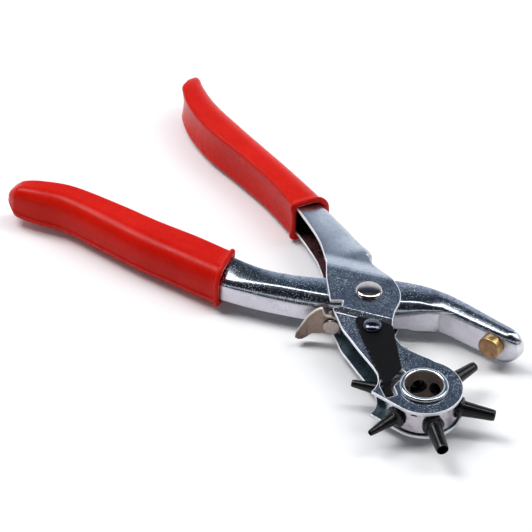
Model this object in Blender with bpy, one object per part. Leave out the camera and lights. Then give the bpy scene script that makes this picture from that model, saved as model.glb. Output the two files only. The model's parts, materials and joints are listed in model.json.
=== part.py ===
"""Revolving leather punch: two pressed steel levers on one rivet, a six-punch turret and a brass anvil.

Lengths are in millimetres and are turned into metres when an object is made. Plan positions are measured
from the main rivet's axis: +X runs to the nose, -X to the handles, +Z is the rivet's axis. Heights are
measured from the tool's middle plane, which lies MIDDLE above the flat underside of the main rivet.
"""

import math

import bmesh
import bpy
from mathutils import Matrix, Vector

MM = 0.001
GAP = 0.3  # clearance between neighbouring pieces

# Sheet metal
SHEET = 1.5  # thickness of both levers
BEND_RADIUS = 4.0  # outer radius of the channel bends
ANVIL_HALF_HEIGHT = 6.9  # anvil lever, middle plane to outer face
ANVIL_LOWER_BEND_RADIUS = 1.9
JAW_DEPTH = 8.7  # middle plane to the jaw's lower face
JAW_START_X = 15.0  # the jaw deepens from here
JAW_END_X = 19.5  # to here
HEAD_HALF_HEIGHT = 8.7  # head lever at the pivot, middle plane to outer face
HEAD_TAIL_HALF_HEIGHT = 7.4  # head lever inside its grip
TAPER_START_X = -20.0  # the head lever gets flatter from here
TAPER_END_X = -48.0  # to here
JOGGLE_DROP = 1.7  # step from the pivot plates down to the cheeks
JOGGLE_HALF_WIDTH = 0.9
JOGGLE_POINT = Vector((7.0, -12.35, 0))
JOGGLE_NORMAL = Vector((0.377, -0.926, 0))  # towards the turret

# Main rivet
RIVET_RADIUS = 3.5
RIVET_HEAD_RADIUS = 5.65
RIVET_HEAD_HEIGHT = 1.6
RIVET_FOOT_RADIUS = 4.0  # flat underside of the lower head
MIDDLE = HEAD_HALF_HEIGHT + GAP + RIVET_HEAD_HEIGHT

# Turret
TURRET = Vector((52.55, -28.1, 0))
CHEEK_END_RADIUS = 16.0
DRUM_RADIUS = 15.0
DRUM_HALF_HEIGHT = 5.2
DRUM_WALL = 1.4
DRUM_BORE = 9.05
NOTCH_WIDTH = 2.6
NOTCH_DEPTH = 1.2
HUB_RADIUS = 8.75
HUB_BORE = 7.8
HUB_LIP_RADIUS = 10.2
HUB_LIP_HEIGHT = 1.4
HUB_WINDOW_RADIUS = 3.5
ACTIVE_PUNCH_ANGLE = 84.2  # degrees from +X
PUNCH_SIZES = (3.5, 4.0, 4.5, 2.0, 2.5, 3.0)  # hole diameters, clockwise from the active punch
PUNCH_TIP_RADIUS = 30.0  # tip circle of the turret
PUNCH_ROOT_RADIUS = 9.7
PUNCH_STEM_RADIUS = 3.1
PUNCH_COLLAR_RADIUS = 4.6
PUNCH_RIM = 0.3  # wall thickness at the cutting edge

# Anvil on the jaw
ANVIL_FACE = Vector((53.1, 13.9, 0))
ANVIL_ANGLE = -83.3  # direction the face looks, degrees from +X
ANVIL_RADIUS = 5.0
ANVIL_HEIGHT = 3.9
ANVIL_STEM_RADIUS = 2.0

# Index spring on the upper cheek
LEAF_THICKNESS = 1.0
LEAF_AXIS = Vector((0.743, -0.669, 0))
LEAF_RIVET = Vector((14.8, -15.6, 0))
LEAF_RIVET_RADIUS = 1.8
LEAF_RIVET_HEAD_RADIUS = 3.9
LEAF_HINGE = Vector((13.2, -12.2, 0))
LEAF_DIP_START = 53.5  # distance along LEAF_AXIS
LEAF_DIP_END = 58.0
LEAF_DIP = 1.75

# Latch on the anvil lever
LATCH_STUD = Vector((-3.9, -18.6, -0.9))  # middle of the latch's outer face
LATCH_ANGLE = 35.7  # direction of the lever's web behind the latch
LATCH_THICKNESS = 1.5
LATCH_STUD_RADIUS = 2.0
LATCH_HEAD_RADIUS = 4.1
LATCH_TAIL_RADIUS = 2.8
LATCH_SPACER_RADIUS = 3.4
LATCH_SPACER_LENGTH = 4.3
LATCH_TAB_START = -8.5  # the thumb tab curls outwards beyond this
LATCH_TAB_CURL = 3.6

# Return spring
SPRING_THICKNESS = 0.9
SPRING_HALF_WIDTH = 4.0
SPRING_LOOP_RADIUS = 4.45

# Grips
GRIP_WALL = 1.4
GRIP_RIM = 1.2  # how far the rolled mouth stands proud
GRIP_WEB_CORNER = 5.2
GRIP_TIGHT_CORNER = 3.1  # over the anvil lever's tighter lower bend
GRIP_OPEN_CORNER = 1.8

# Each station pairs a point on a lever's outer web face with the point across from it on the open edge.
ANVIL_STATIONS = (
    (-146.0, -49.3, -149.5, -41.2),
    (-134.0, -44.9, -137.3, -35.0),
    (-113.0, -42.8, -114.8, -30.4),
    (-93.0, -41.0, -95.0, -27.3),
    (-74.0, -38.0, -76.6, -23.5),
    (-55.0, -34.7, -59.8, -20.9),
    (-38.9, -29.3, -45.0, -17.7),
    (-20.4, -20.4, -30.0, -10.3),
    (-3.0, -10.3, -15.0, 0.9),
    (6.0, -4.8, -3.5, 11.2),
    (13.5, 2.4, 5.0, 17.0),
    (20.4, 8.9, 14.0, 21.2),
    (26.4, 13.9, 23.6, 23.6),
    (30.0, 15.3, 28.5, 24.1),
    (36.0, 16.2, 35.0, 24.4),
    (46.0, 17.3, 45.2, 24.6),
    (57.4, 18.6, 56.6, 24.9),
)
NOSE_STEPS = 6  # quarter turns of the rounded nose
NOSE_DEPTH = 5.8

HEAD_STATIONS = (
    (-147.0, 57.6, -150.5, 51.0),
    (-136.0, 53.4, -139.5, 43.4),
    (-120.0, 49.5, -123.0, 37.3),
    (-100.0, 45.0, -103.5, 33.9),
    (-80.0, 40.6, -84.0, 30.1),
    (-62.5, 36.6, -67.0, 25.0),
    (-48.6, 32.5, -54.0, 20.0),
    (-33.0, 28.2, -40.5, 13.7),
    (-24.0, 25.0, -33.0, 8.8),
    (-15.8, 21.6, -26.5, 3.5),
)
# The pivot plates and cheeks, from the end of the web clockwise to the open edge of the handle.
PLATE_SHOULDER = (
    (-14.6, 18.4),
    (-11.4, 16.2),
    (-5.0, 14.6),
    (2.0, 13.2),
    (9.1, 9.4),
    (13.4, 4.3),
    (16.0, -2.3),
)
PLATE_WAIST = ((19.5, -7.8), (24.5, -12.4), (31.0, -14.9), (37.8, -14.5), (43.5, -13.4))
CHEEK_ARC = (112.0, -88.0)  # start and end of the round end about the turret's axis, degrees
CHEEK_CORNER = ((38.7, -44.8), (38.2, -41.5), (36.5, -37.8), (33.5, -34.9))
CHEEK_EDGE = ((30.0, -33.2), (20.0, -29.6), (12.0, -26.4), (5.5, -23.8), (0.0, -20.3), (-5.3, -17.1))
LATCH_NOTCH = ((-2.55, -14.5), (-4.3, -11.7), (-8.4, -15.2), (-13.5, -10.4), (-18.9, -5.4))
LEAF_WINDOW = ((39.0, -27.5), (40.4, -27.0), (43.0, -34.8), (47.5, -39.6))
LEAF_WINDOW_END = ((45.0, -43.6), (39.6, -39.6), (37.6, -37.6), (38.2, -33.0))

# Extra grip sections beyond the end of each lever: web side, open side, half height.
ANVIL_GRIP_TAIL = (
    (-153.4, -53.0, -155.4, -43.0, 7.6),
    (-157.4, -53.7, -158.6, -46.9, 6.0),
    (-159.7, -52.6, -160.1, -50.0, 3.6),
)
HEAD_GRIP_TAIL = (
    (-151.8, 60.9, -153.6, 53.8, 7.2),
    (-155.4, 63.2, -156.3, 58.4, 5.4),
    (-157.3, 64.1, -157.6, 62.2, 3.0),
)


# ---------------------------------------------------------------------------------------------- helpers


def clear_scene():
    for old in list(bpy.data.objects):
        bpy.data.objects.remove(old, do_unlink=True)


def material(name, color, roughness, metallic):
    mat = bpy.data.materials.new(name)
    mat.use_nodes = True
    shader = mat.node_tree.nodes["Principled BSDF"]
    shader.inputs["Base Color"].default_value = (*color, 1.0)
    shader.inputs["Roughness"].default_value = roughness
    shader.inputs["Metallic"].default_value = metallic
    return mat


def make_object(name, bm, mat, pivot=(0, 0, 0)):
    """Turns a millimetre bmesh into an object whose origin is at pivot."""
    pivot = Vector(pivot)
    bmesh.ops.translate(bm, vec=-pivot, verts=bm.verts)
    bmesh.ops.scale(bm, vec=(MM, MM, MM), verts=bm.verts)
    mesh = bpy.data.meshes.new(name)
    bm.to_mesh(mesh)
    bm.free()
    mesh.shade_smooth()
    mesh.set_sharp_from_angle(angle=math.radians(35))
    obj = bpy.data.objects.new(name, mesh)
    obj.location = (pivot + Vector((0, 0, MIDDLE))) * MM
    bpy.context.scene.collection.objects.link(obj)
    if mat:
        obj.data.materials.append(mat)
    return obj


def cutter(name, bm):
    obj = make_object(name, bm, None)
    obj.hide_render = True
    obj.display_type = "WIRE"
    return obj


def cut(obj, tool):
    mod = obj.modifiers.new(tool.name, "BOOLEAN")
    mod.operation = "DIFFERENCE"
    mod.object = tool
    mod.solver = "EXACT"


def sheet(obj):
    mod = obj.modifiers.new("sheet", "SOLIDIFY")
    mod.thickness = SHEET * MM
    mod.offset = 0.0
    mod.use_even_offset = True


def smooth_curve(points, steps):
    """Catmull-Rom curve through the points, with the given number of steps in each span."""
    points = [Vector(p) for p in points]
    first = points[0] * 2 - points[1]
    last = points[-1] * 2 - points[-2]
    padded = [first, *points, last]
    curve = []
    for i in range(1, len(padded) - 2):
        a, b, c, d = padded[i - 1 : i + 3]
        square = a * 2 - b * 5 + c * 4 - d
        cube = b * 3 - a - c * 3 + d
        for k in range(steps):
            t = k / steps
            curve.append((b * 2 + (c - a) * t + square * t**2 + cube * t**3) / 2)
    curve.append(points[-1])
    return curve


def polar(center, radius, degrees):
    angle = math.radians(degrees)
    return Vector((center[0] + radius * math.cos(angle), center[1] + radius * math.sin(angle), 0))


def arc(center, radius, start, end, steps):
    return [polar(center, radius, start + (end - start) * k / steps) for k in range(steps + 1)]


def prism(bm, outline, low, high):
    """Adds the solid between two heights over a plan outline given counter-clockwise."""
    bottom = [bm.verts.new((p[0], p[1], low)) for p in outline]
    top = [bm.verts.new((p[0], p[1], high)) for p in outline]
    bm.faces.new(top)
    bm.faces.new(list(reversed(bottom)))
    count = len(outline)
    for i in range(count):
        j = (i + 1) % count
        bm.faces.new((bottom[i], bottom[j], top[j], top[i]))


def turned(bm, profile, frame, segments, closed=False):
    """Turns a (radius, height) profile about frame's Z axis; closed joins the last point to the first."""
    rings = []
    for radius, height in profile:
        if radius == 0:
            rings.append([bm.verts.new(frame @ Vector((0, 0, height)))])
            continue
        ring = []
        for k in range(segments):
            angle = 2 * math.pi * k / segments
            point = Vector((radius * math.cos(angle), radius * math.sin(angle), height))
            ring.append(bm.verts.new(frame @ point))
        rings.append(ring)
    pairs = list(zip(rings, rings[1:]))
    if closed:
        pairs.append((rings[-1], rings[0]))
    for low, high in pairs:
        for k in range(segments):
            n = (k + 1) % segments
            if len(low) == 1:
                bm.faces.new((low[0], high[n], high[k]))
            elif len(high) == 1:
                bm.faces.new((low[k], low[n], high[0]))
            else:
                bm.faces.new((low[k], low[n], high[n], high[k]))
    bmesh.ops.recalc_face_normals(bm, faces=bm.faces)


def along(point, direction):
    """Frame at point whose Z axis runs along direction."""
    turn = Vector(direction).to_track_quat("Z", "Y").to_matrix().to_4x4()
    return Matrix.Translation(Vector(point)) @ turn


def loft(bm, rings):
    """Skins equal rings of points and closes both ends."""
    verts = [[bm.verts.new(p) for p in ring] for ring in rings]
    count = len(verts[0])
    for low, high in zip(verts, verts[1:]):
        for i in range(count):
            j = (i + 1) % count
            bm.faces.new((low[i], low[j], high[j], high[i]))
    bm.faces.new(verts[0])
    bm.faces.new(verts[-1])
    bmesh.ops.recalc_face_normals(bm, faces=bm.faces)


def stations(rows, steps, side):
    """Smooth list of (web point, depth vector to the open edge, unit inward normal) along a lever.

    side is +1 where the channel opens to the left of the run towards the nose, and -1 where to the right.
    """
    webs = smooth_curve([(r[0], r[1], 0) for r in rows], steps)
    edges = smooth_curve([(r[2], r[3], 0) for r in rows], steps)
    result = []
    for i, (web, edge) in enumerate(zip(webs, edges)):
        ahead = webs[min(i + 1, len(webs) - 1)]
        behind = webs[max(i - 1, 0)]
        run = (ahead - behind).normalized()
        inward = Vector((-run.y, run.x, 0)) * side
        result.append((web, edge - web, inward))
    return result


# ---------------------------------------------------------------------------------------------- levers


def channel_row(base, outward, half_height, inward, depth, radius=BEND_RADIUS):
    """Mid-sheet points from the middle of the web, round the bend, to the open edge."""
    bend = radius - SHEET / 2
    center = base + outward * (half_height - radius) + inward * radius
    row = [base + inward * SHEET / 2]
    for k in range(4):
        angle = math.radians(30 * k)
        row.append(center - inward * bend * math.cos(angle) + outward * bend * math.sin(angle))
    row.append(base + outward * (half_height - SHEET / 2) + depth)
    return row


def add_strip(bm, rows):
    """Quads between neighbouring rows; points shared by two rows are merged afterwards."""
    verts = [[bm.verts.new(p) for p in row] for row in rows]
    for low, high in zip(verts, verts[1:]):
        for i in range(len(low) - 1):
            corners = (low[i], low[i + 1], high[i + 1], high[i])
            if (corners[0].co - corners[3].co).length > 1e-6:
                bm.faces.new(corners)
            else:
                bm.faces.new(corners[:3])


def anvil_lever(mat, pivot_hole):
    """Channel whose flanges run on round the nose of the jaw, like the rim of a spoon."""
    up = Vector((0, 0, 1))
    runs = stations(ANVIL_STATIONS, 2, 1)[1:]  # the grip's cavity reaches one step further
    rows = [channel_row(web, up, ANVIL_HALF_HEIGHT, inward, depth) for web, depth, inward in runs]
    web, depth, inward = runs[-1]
    forward = Vector((inward.y, -inward.x, 0))
    nose_count = NOSE_STEPS * 2
    for k in range(1, nose_count):
        angle = math.pi * k / nose_count
        outward = up * math.cos(angle) + forward * math.sin(angle)
        flange = inward * (depth.length + (NOSE_DEPTH - depth.length) * math.sin(angle))
        radius = BEND_RADIUS + (ANVIL_LOWER_BEND_RADIUS - BEND_RADIUS) * k / nose_count
        rows.append(channel_row(web, outward, ANVIL_HALF_HEIGHT, inward, flange, radius))
    for web, depth, inward in reversed(runs):
        rows.append(channel_row(web, -up, ANVIL_HALF_HEIGHT, inward, depth, ANVIL_LOWER_BEND_RADIUS))
    bm = bmesh.new()
    add_strip(bm, rows)
    bmesh.ops.remove_doubles(bm, verts=bm.verts, dist=1e-4)
    for x in (JAW_START_X, JAW_END_X):
        everything = bm.verts[:] + bm.edges[:] + bm.faces[:]
        bmesh.ops.bisect_plane(bm, geom=everything, plane_co=(x, 0, 0), plane_no=(1, 0, 0))
    deepening = (JAW_DEPTH - SHEET / 2) / (ANVIL_HALF_HEIGHT - SHEET / 2) - 1
    for vert in bm.verts:
        share = min(max((vert.co.x - JAW_START_X) / (JAW_END_X - JAW_START_X), 0.0), 1.0)
        if vert.co.z < 0:
            vert.co.z *= 1 + deepening * share
    bmesh.ops.recalc_face_normals(bm, faces=bm.faces)
    obj = make_object("anvil_lever", bm, mat)
    sheet(obj)
    cut(obj, pivot_hole)

    holes = bmesh.new()
    stem_hole = ANVIL_STEM_RADIUS + GAP
    face_direction = polar((0, 0), 1, ANVIL_ANGLE)
    stem_bore = ((0, -9), (stem_hole, -9), (stem_hole, -1), (0, -1))
    turned(holes, stem_bore, along(ANVIL_FACE, face_direction), 20)
    stud_hole = LATCH_STUD_RADIUS + GAP
    stud_bore = ((0, -10.5), (stud_hole, -10.5), (stud_hole, -5), (0, -5))
    turned(holes, stud_bore, along(LATCH_STUD, latch_normal()), 20)
    cut(obj, cutter("anvil_lever_holes", holes))
    return obj


def head_outline():
    """Plan outline of the pivot plate and cheek, from the end of the web to the open edge of the handle."""
    shoulder = smooth_curve([(*p, 0) for p in PLATE_SHOULDER + PLATE_WAIST], 2)
    end = arc(TURRET, CHEEK_END_RADIUS, CHEEK_ARC[0], CHEEK_ARC[1], 16)
    rest = [Vector((*p, 0)) for p in CHEEK_CORNER + CHEEK_EDGE + LATCH_NOTCH]
    return shoulder + end + rest


def taper(x):
    """Mid-sheet height of the head lever at x as a share of its height at the pivot."""
    share = min(max((x - TAPER_START_X) / (TAPER_END_X - TAPER_START_X), 0.0), 1.0)
    flattest = (HEAD_TAIL_HALF_HEIGHT - SHEET / 2) / (HEAD_HALF_HEIGHT - SHEET / 2)
    return 1 + share * (flattest - 1)


def head_lever(mat, pivot_hole):
    """Channel handle that opens into two pivot plates, joggled in to the two cheeks of the turret."""
    runs = stations(HEAD_STATIONS, 2, -1)[1:]  # the grip's cavity reaches one step further
    bm = bmesh.new()
    for sign in (1, -1):
        up = Vector((0, 0, sign))
        rows = [channel_row(web, up, HEAD_HALF_HEIGHT, inward, depth) for web, depth, inward in runs]
        add_strip(bm, [row[:5] for row in rows])
        level = up * (HEAD_HALF_HEIGHT - SHEET / 2)
        plate = [row[4] for row in rows]
        plate += [p + level for p in head_outline()]
        plate += [row[5] for row in reversed(rows)]
        bm.faces.new([bm.verts.new(p) for p in plate])
    bmesh.ops.remove_doubles(bm, verts=bm.verts, dist=1e-4)
    cuts = [
        (Vector((TAPER_START_X, 0, 0)), Vector((1, 0, 0))),
        (Vector((TAPER_END_X, 0, 0)), Vector((1, 0, 0))),
        (JOGGLE_POINT - JOGGLE_NORMAL * JOGGLE_HALF_WIDTH, JOGGLE_NORMAL),
        (JOGGLE_POINT + JOGGLE_NORMAL * JOGGLE_HALF_WIDTH, JOGGLE_NORMAL),
    ]
    for point, normal in cuts:
        everything = bm.verts[:] + bm.edges[:] + bm.faces[:]
        bmesh.ops.bisect_plane(bm, geom=everything, plane_co=point, plane_no=normal)
    for vert in bm.verts:
        beyond = (vert.co - JOGGLE_POINT).dot(JOGGLE_NORMAL)
        vert.co.z *= taper(vert.co.x)
        if beyond > 0:
            vert.co.z -= math.copysign(JOGGLE_DROP, vert.co.z)
    bmesh.ops.recalc_face_normals(bm, faces=bm.faces)
    obj = make_object("head_lever", bm, mat)
    sheet(obj)
    cut(obj, pivot_hole)

    holes = bmesh.new()
    hub_hole = HUB_RADIUS + GAP
    turned(holes, ((0, -12), (hub_hole, -12), (hub_hole, 12), (0, 12)), Matrix.Translation(TURRET), 48)
    leaf_hole = LEAF_RIVET_RADIUS + GAP
    turned(holes, ((0, 3), (leaf_hole, 3), (leaf_hole, 12), (0, 12)), Matrix.Translation(LEAF_RIVET), 20)
    prism(holes, list(reversed(LEAF_WINDOW + LEAF_WINDOW_END)), 3, 12)
    cut(obj, cutter("head_lever_holes", holes))
    return obj


def main_rivet(mat):
    """Shank with a domed upper head and a flat-footed lower head."""
    seat = HEAD_HALF_HEIGHT + GAP
    top = seat + RIVET_HEAD_HEIGHT
    angles = (0.25, 0.6, 1.0, 1.3)
    dome = [(RIVET_HEAD_RADIUS * math.cos(a), RIVET_HEAD_HEIGHT * math.sin(a)) for a in angles]
    profile = [(0, -top), (RIVET_FOOT_RADIUS, -top), (RIVET_HEAD_RADIUS - 0.5, -top + 0.6)]
    profile += [(RIVET_HEAD_RADIUS, -seat - 0.4), (RIVET_HEAD_RADIUS, -seat)]
    profile += [(RIVET_RADIUS, -seat), (RIVET_RADIUS, seat), (RIVET_HEAD_RADIUS, seat)]
    profile += [(r, seat + h) for r, h in dome]
    profile.append((0, top))
    bm = bmesh.new()
    turned(bm, profile, Matrix.Identity(4), 32)
    return make_object("main_rivet", bm, mat)


def return_spring(mat):
    """Hairpin of spring strip: a loop round the main rivet and a leg against each lever's web."""
    lower_leg = [(-25.0, -20.1), (-17.0, -13.9), (-9.0, -7.9)]
    upper_leg = [(-9.0, 9.0), (-17.0, 16.4), (-25.0, 22.6)]
    loop = arc((0, 0), SPRING_LOOP_RADIUS, -112, 112, 14)
    middle = [Vector((*p, 0)) for p in lower_leg] + loop + [Vector((*p, 0)) for p in upper_leg]
    inner = []
    outer = []
    for i, point in enumerate(middle):
        run = (middle[min(i + 1, len(middle) - 1)] - middle[max(i - 1, 0)]).normalized()
        across = Vector((-run.y, run.x, 0)) * SPRING_THICKNESS / 2
        inner.append(point + across)
        outer.append(point - across)
    bm = bmesh.new()
    prism(bm, outer + list(reversed(inner)), -SPRING_HALF_WIDTH, SPRING_HALF_WIDTH)
    return make_object("return_spring", bm, mat)


# ---------------------------------------------------------------------------------------------- turret


def turret_drum(mat):
    """Channel-section wheel open to the hub, with six radial holes and six index notches."""
    inside = DRUM_RADIUS - DRUM_WALL
    ceiling = DRUM_HALF_HEIGHT - DRUM_WALL
    profile = [(DRUM_BORE, -DRUM_HALF_HEIGHT), (DRUM_RADIUS, -DRUM_HALF_HEIGHT)]
    profile += [(DRUM_RADIUS, DRUM_HALF_HEIGHT)]
    profile += [(DRUM_BORE, DRUM_HALF_HEIGHT), (DRUM_BORE, ceiling), (inside, ceiling)]
    profile += [(inside, -ceiling), (DRUM_BORE, -ceiling)]
    bm = bmesh.new()
    turned(bm, profile, Matrix.Translation(TURRET), 60, closed=True)
    obj = make_object("turret_drum", bm, mat, TURRET)

    holes = bmesh.new()
    stem_hole = PUNCH_STEM_RADIUS + GAP
    for k in range(len(PUNCH_SIZES)):
        direction = polar((0, 0), 1, ACTIVE_PUNCH_ANGLE - 60 * k)
        stem_bore = ((0, 12.5), (stem_hole, 12.5), (stem_hole, 17), (0, 17))
        turned(holes, stem_bore, along(TURRET, direction), 20)
    cut(obj, cutter("drum_stem_holes", holes))

    notches = bmesh.new()
    for k in range(len(PUNCH_SIZES)):
        direction = polar((0, 0), 1, ACTIVE_PUNCH_ANGLE + 30 - 60 * k)
        across = Vector((-direction.y, direction.x, 0)) * NOTCH_WIDTH / 2
        near = TURRET + direction * (DRUM_RADIUS - 2.4)
        far = TURRET + direction * (DRUM_RADIUS + 1)
        corners = [near - across, far - across, far + across, near + across]
        prism(notches, corners, DRUM_HALF_HEIGHT - NOTCH_DEPTH, DRUM_HALF_HEIGHT + 1)
    cut(obj, cutter("drum_notches", notches))
    return obj


def turret_hub(mat):
    """Tubular rivet through both cheeks, ends rolled into lips, with a slug window behind each punch."""
    seat = HEAD_HALF_HEIGHT - JOGGLE_DROP + GAP
    top = seat + HUB_LIP_HEIGHT
    upper = [(HUB_RADIUS, seat), (HUB_LIP_RADIUS, seat), (HUB_LIP_RADIUS, seat + 0.6)]
    upper += [(HUB_LIP_RADIUS - 0.5, top - 0.2), (HUB_RADIUS - 0.1, top), (HUB_BORE + 0.3, top - 0.4)]
    upper.append((HUB_BORE, top - 1.1))
    profile = upper + [(r, -h) for r, h in reversed(upper)]
    bm = bmesh.new()
    turned(bm, profile, Matrix.Translation(TURRET), 48, closed=True)
    obj = make_object("turret_hub", bm, mat, TURRET)
    windows = bmesh.new()
    for k in range(len(PUNCH_SIZES)):
        direction = polar((0, 0), 1, ACTIVE_PUNCH_ANGLE - 60 * k)
        outline = ((0, 6.5), (HUB_WINDOW_RADIUS, 6.5), (HUB_WINDOW_RADIUS, 9.4), (0, 9.4))
        turned(windows, outline, along(TURRET, direction), 16)
    cut(obj, cutter("hub_windows", windows))
    return obj


def punch_tube(name, size, degrees, mat):
    """Hollow punch: stem in the drum wall, collar, and a nose that tapers to the cutting edge."""
    bore = size / 2
    tip = bore + PUNCH_RIM
    collar = DRUM_RADIUS + GAP
    neck = PUNCH_STEM_RADIUS + 0.5
    shoulder = (tip + neck) / 2
    stem = PUNCH_STEM_RADIUS
    profile = [(bore, PUNCH_ROOT_RADIUS), (stem, PUNCH_ROOT_RADIUS), (stem, collar)]
    profile += [(PUNCH_COLLAR_RADIUS, collar), (PUNCH_COLLAR_RADIUS, collar + 1.1), (neck, collar + 1.6)]
    profile += [(shoulder, collar + 8.0), (tip + 0.1, PUNCH_TIP_RADIUS - 1.0)]
    profile += [(tip - 0.1, PUNCH_TIP_RADIUS)]
    profile.append((bore, PUNCH_TIP_RADIUS))
    bm = bmesh.new()
    turned(bm, profile, along(TURRET, polar((0, 0), 1, degrees)), 18, closed=True)
    return make_object(name, bm, mat, TURRET)


# ---------------------------------------------------------------------------------------------- small parts


def anvil_pad(mat):
    """Brass disc on the jaw with a stem riveted over inside the channel."""
    back = -ANVIL_HEIGHT
    inside = back - GAP - SHEET - GAP
    profile = [(0, inside - 1.2), (2.2, inside - 1.2), (3.1, inside - 0.7), (3.1, inside)]
    profile += [(ANVIL_STEM_RADIUS, inside), (ANVIL_STEM_RADIUS, back), (ANVIL_RADIUS, back)]
    profile += [(ANVIL_RADIUS, -0.3), (ANVIL_RADIUS - 0.3, 0), (0, 0)]
    bm = bmesh.new()
    turned(bm, profile, along(ANVIL_FACE, polar((0, 0), 1, ANVIL_ANGLE)), 32)
    return make_object("anvil_pad", bm, mat)


def index_spring(mat):
    """Flat leaf on the upper cheek; its tip dips through the cheek's window to the drum's notches."""
    root = [(20.3, -9.2), (17.2, -9.6), (8.6, -13.4), (6.3, -14.9), (6.4, -16.6)]
    left = [(36.2, -36.3), (40.2, -38.6), (44.6, -42.6)]
    right = [(46.6, -39.7), (41.9, -34.6), (39.6, -26.6), (21.6, -10.2)]
    bm = bmesh.new()
    bm.faces.new([bm.verts.new((x, y, 0)) for x, y in root + left + right])
    for place in (LEAF_DIP_START, LEAF_DIP_END):
        everything = bm.verts[:] + bm.edges[:] + bm.faces[:]
        bmesh.ops.bisect_plane(bm, geom=everything, plane_co=LEAF_AXIS * place, plane_no=LEAF_AXIS)
    underside = HEAD_HALF_HEIGHT - JOGGLE_DROP + GAP
    for vert in bm.verts:
        share = (vert.co.dot(LEAF_AXIS) - LEAF_DIP_START) / (LEAF_DIP_END - LEAF_DIP_START)
        vert.co.z = underside - LEAF_DIP * min(max(share, 0.0), 1.0)
    lower = bm.faces[:]
    raised = bmesh.ops.extrude_face_region(bm, geom=lower, use_keep_orig=True)
    tops = [item for item in raised["geom"] if isinstance(item, bmesh.types.BMVert)]
    bmesh.ops.translate(bm, vec=(0, 0, LEAF_THICKNESS), verts=tops)
    bmesh.ops.recalc_face_normals(bm, faces=bm.faces)
    obj = make_object("index_spring", bm, mat, LEAF_HINGE + Vector((0, 0, underside)))
    hole = bmesh.new()
    radius = LEAF_RIVET_RADIUS + GAP + 0.1
    turned(hole, ((0, 5), (radius, 5), (radius, 12), (0, 12)), Matrix.Translation(LEAF_RIVET), 20)
    cut(obj, cutter("index_spring_hole", hole))
    return obj


def index_spring_rivet(mat):
    outer = HEAD_HALF_HEIGHT - JOGGLE_DROP
    inner = outer - SHEET
    seat = outer + GAP + LEAF_THICKNESS + 0.4
    head = LEAF_RIVET_HEAD_RADIUS
    lower = inner - GAP
    profile = [(0, lower - 0.9), (2.2, lower - 0.9), (2.9, lower - 0.3), (2.9, lower)]
    profile += [(LEAF_RIVET_RADIUS, lower), (LEAF_RIVET_RADIUS, seat), (head, seat), (head, seat + 0.3)]
    profile += [(head * 0.82, seat + 1.0), (head * 0.5, seat + 1.5), (0, seat + 1.7)]
    bm = bmesh.new()
    turned(bm, profile, Matrix.Translation(LEAF_RIVET), 28)
    return make_object("index_spring_rivet", bm, mat)


def latch_normal():
    return polar((0, 0), 1, LATCH_ANGLE - 90)


def latch_frame():
    """Local X along the lever, local Y upwards, local Z out of the latch's outer face."""
    run = polar((0, 0), 1, LATCH_ANGLE)
    frame = Matrix((run, Vector((0, 0, 1)), latch_normal())).transposed().to_4x4()
    return Matrix.Translation(LATCH_STUD) @ frame


def latch(mat):
    """Flat catch: a round end on the stud, a tongue for the lever's notch and a curled thumb tab."""
    tongue = [(-0.5, 5.0), (-2.9, 5.2), (-3.7, 6.9), (-4.2, 9.1), (-5.2, 9.0), (-7.4, 7.5), (-10.2, 4.5)]
    tab = [(-12.9, -0.2), (-14.6, -3.4), (-15.7, -6.4), (-14.4, -7.9)]
    tab += [(-12.6, -7.2), (-10.5, -4.8), (-8.3, -3.9)]
    round_end = [(p.x, p.y) for p in arc((0, 0), 4.15, -95, 80, 12)]
    bm = bmesh.new()
    bm.faces.new([bm.verts.new((x, y, 0)) for x, y in round_end + tongue + tab])
    for place in (LATCH_TAB_START, LATCH_TAB_START - 2.4, LATCH_TAB_START - 4.8):
        everything = bm.verts[:] + bm.edges[:] + bm.faces[:]
        bmesh.ops.bisect_plane(bm, geom=everything, plane_co=(place, 0, 0), plane_no=(1, 0, 0))
    for vert in bm.verts:
        beyond = max(LATCH_TAB_START - vert.co.x, 0.0)
        vert.co.z = LATCH_TAB_CURL * (beyond / 7.0) ** 2
    front = bm.faces[:]
    pushed = bmesh.ops.extrude_face_region(bm, geom=front, use_keep_orig=True)
    backs = [item for item in pushed["geom"] if isinstance(item, bmesh.types.BMVert)]
    bmesh.ops.translate(bm, vec=(0, 0, -LATCH_THICKNESS), verts=backs)
    bmesh.ops.transform(bm, matrix=latch_frame(), verts=bm.verts)
    bmesh.ops.recalc_face_normals(bm, faces=bm.faces)
    obj = make_object("latch", bm, mat, LATCH_STUD)
    hole = bmesh.new()
    radius = LATCH_STUD_RADIUS + GAP
    turned(hole, ((0, -3), (radius, -3), (radius, 1), (0, 1)), latch_frame(), 20)
    cut(obj, cutter("latch_hole", hole))
    return obj


def latch_rivet(mat):
    """Rivet with a disc head outside the latch, a thin shank and a tail inside the lever's web."""
    spacer_end = -LATCH_THICKNESS - GAP - LATCH_SPACER_LENGTH
    inside = spacer_end - GAP - SHEET - 2 * GAP
    profile = [(0, inside - 1.0), (LATCH_TAIL_RADIUS, inside - 1.0), (LATCH_TAIL_RADIUS, inside)]
    profile += [(LATCH_STUD_RADIUS, inside), (LATCH_STUD_RADIUS, GAP), (LATCH_HEAD_RADIUS, GAP)]
    profile += [(LATCH_HEAD_RADIUS, GAP + 0.7), (LATCH_HEAD_RADIUS - 0.4, GAP + 1.0), (0, GAP + 1.0)]
    bm = bmesh.new()
    turned(bm, profile, latch_frame(), 28)
    return make_object("latch_rivet", bm, mat)


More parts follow.
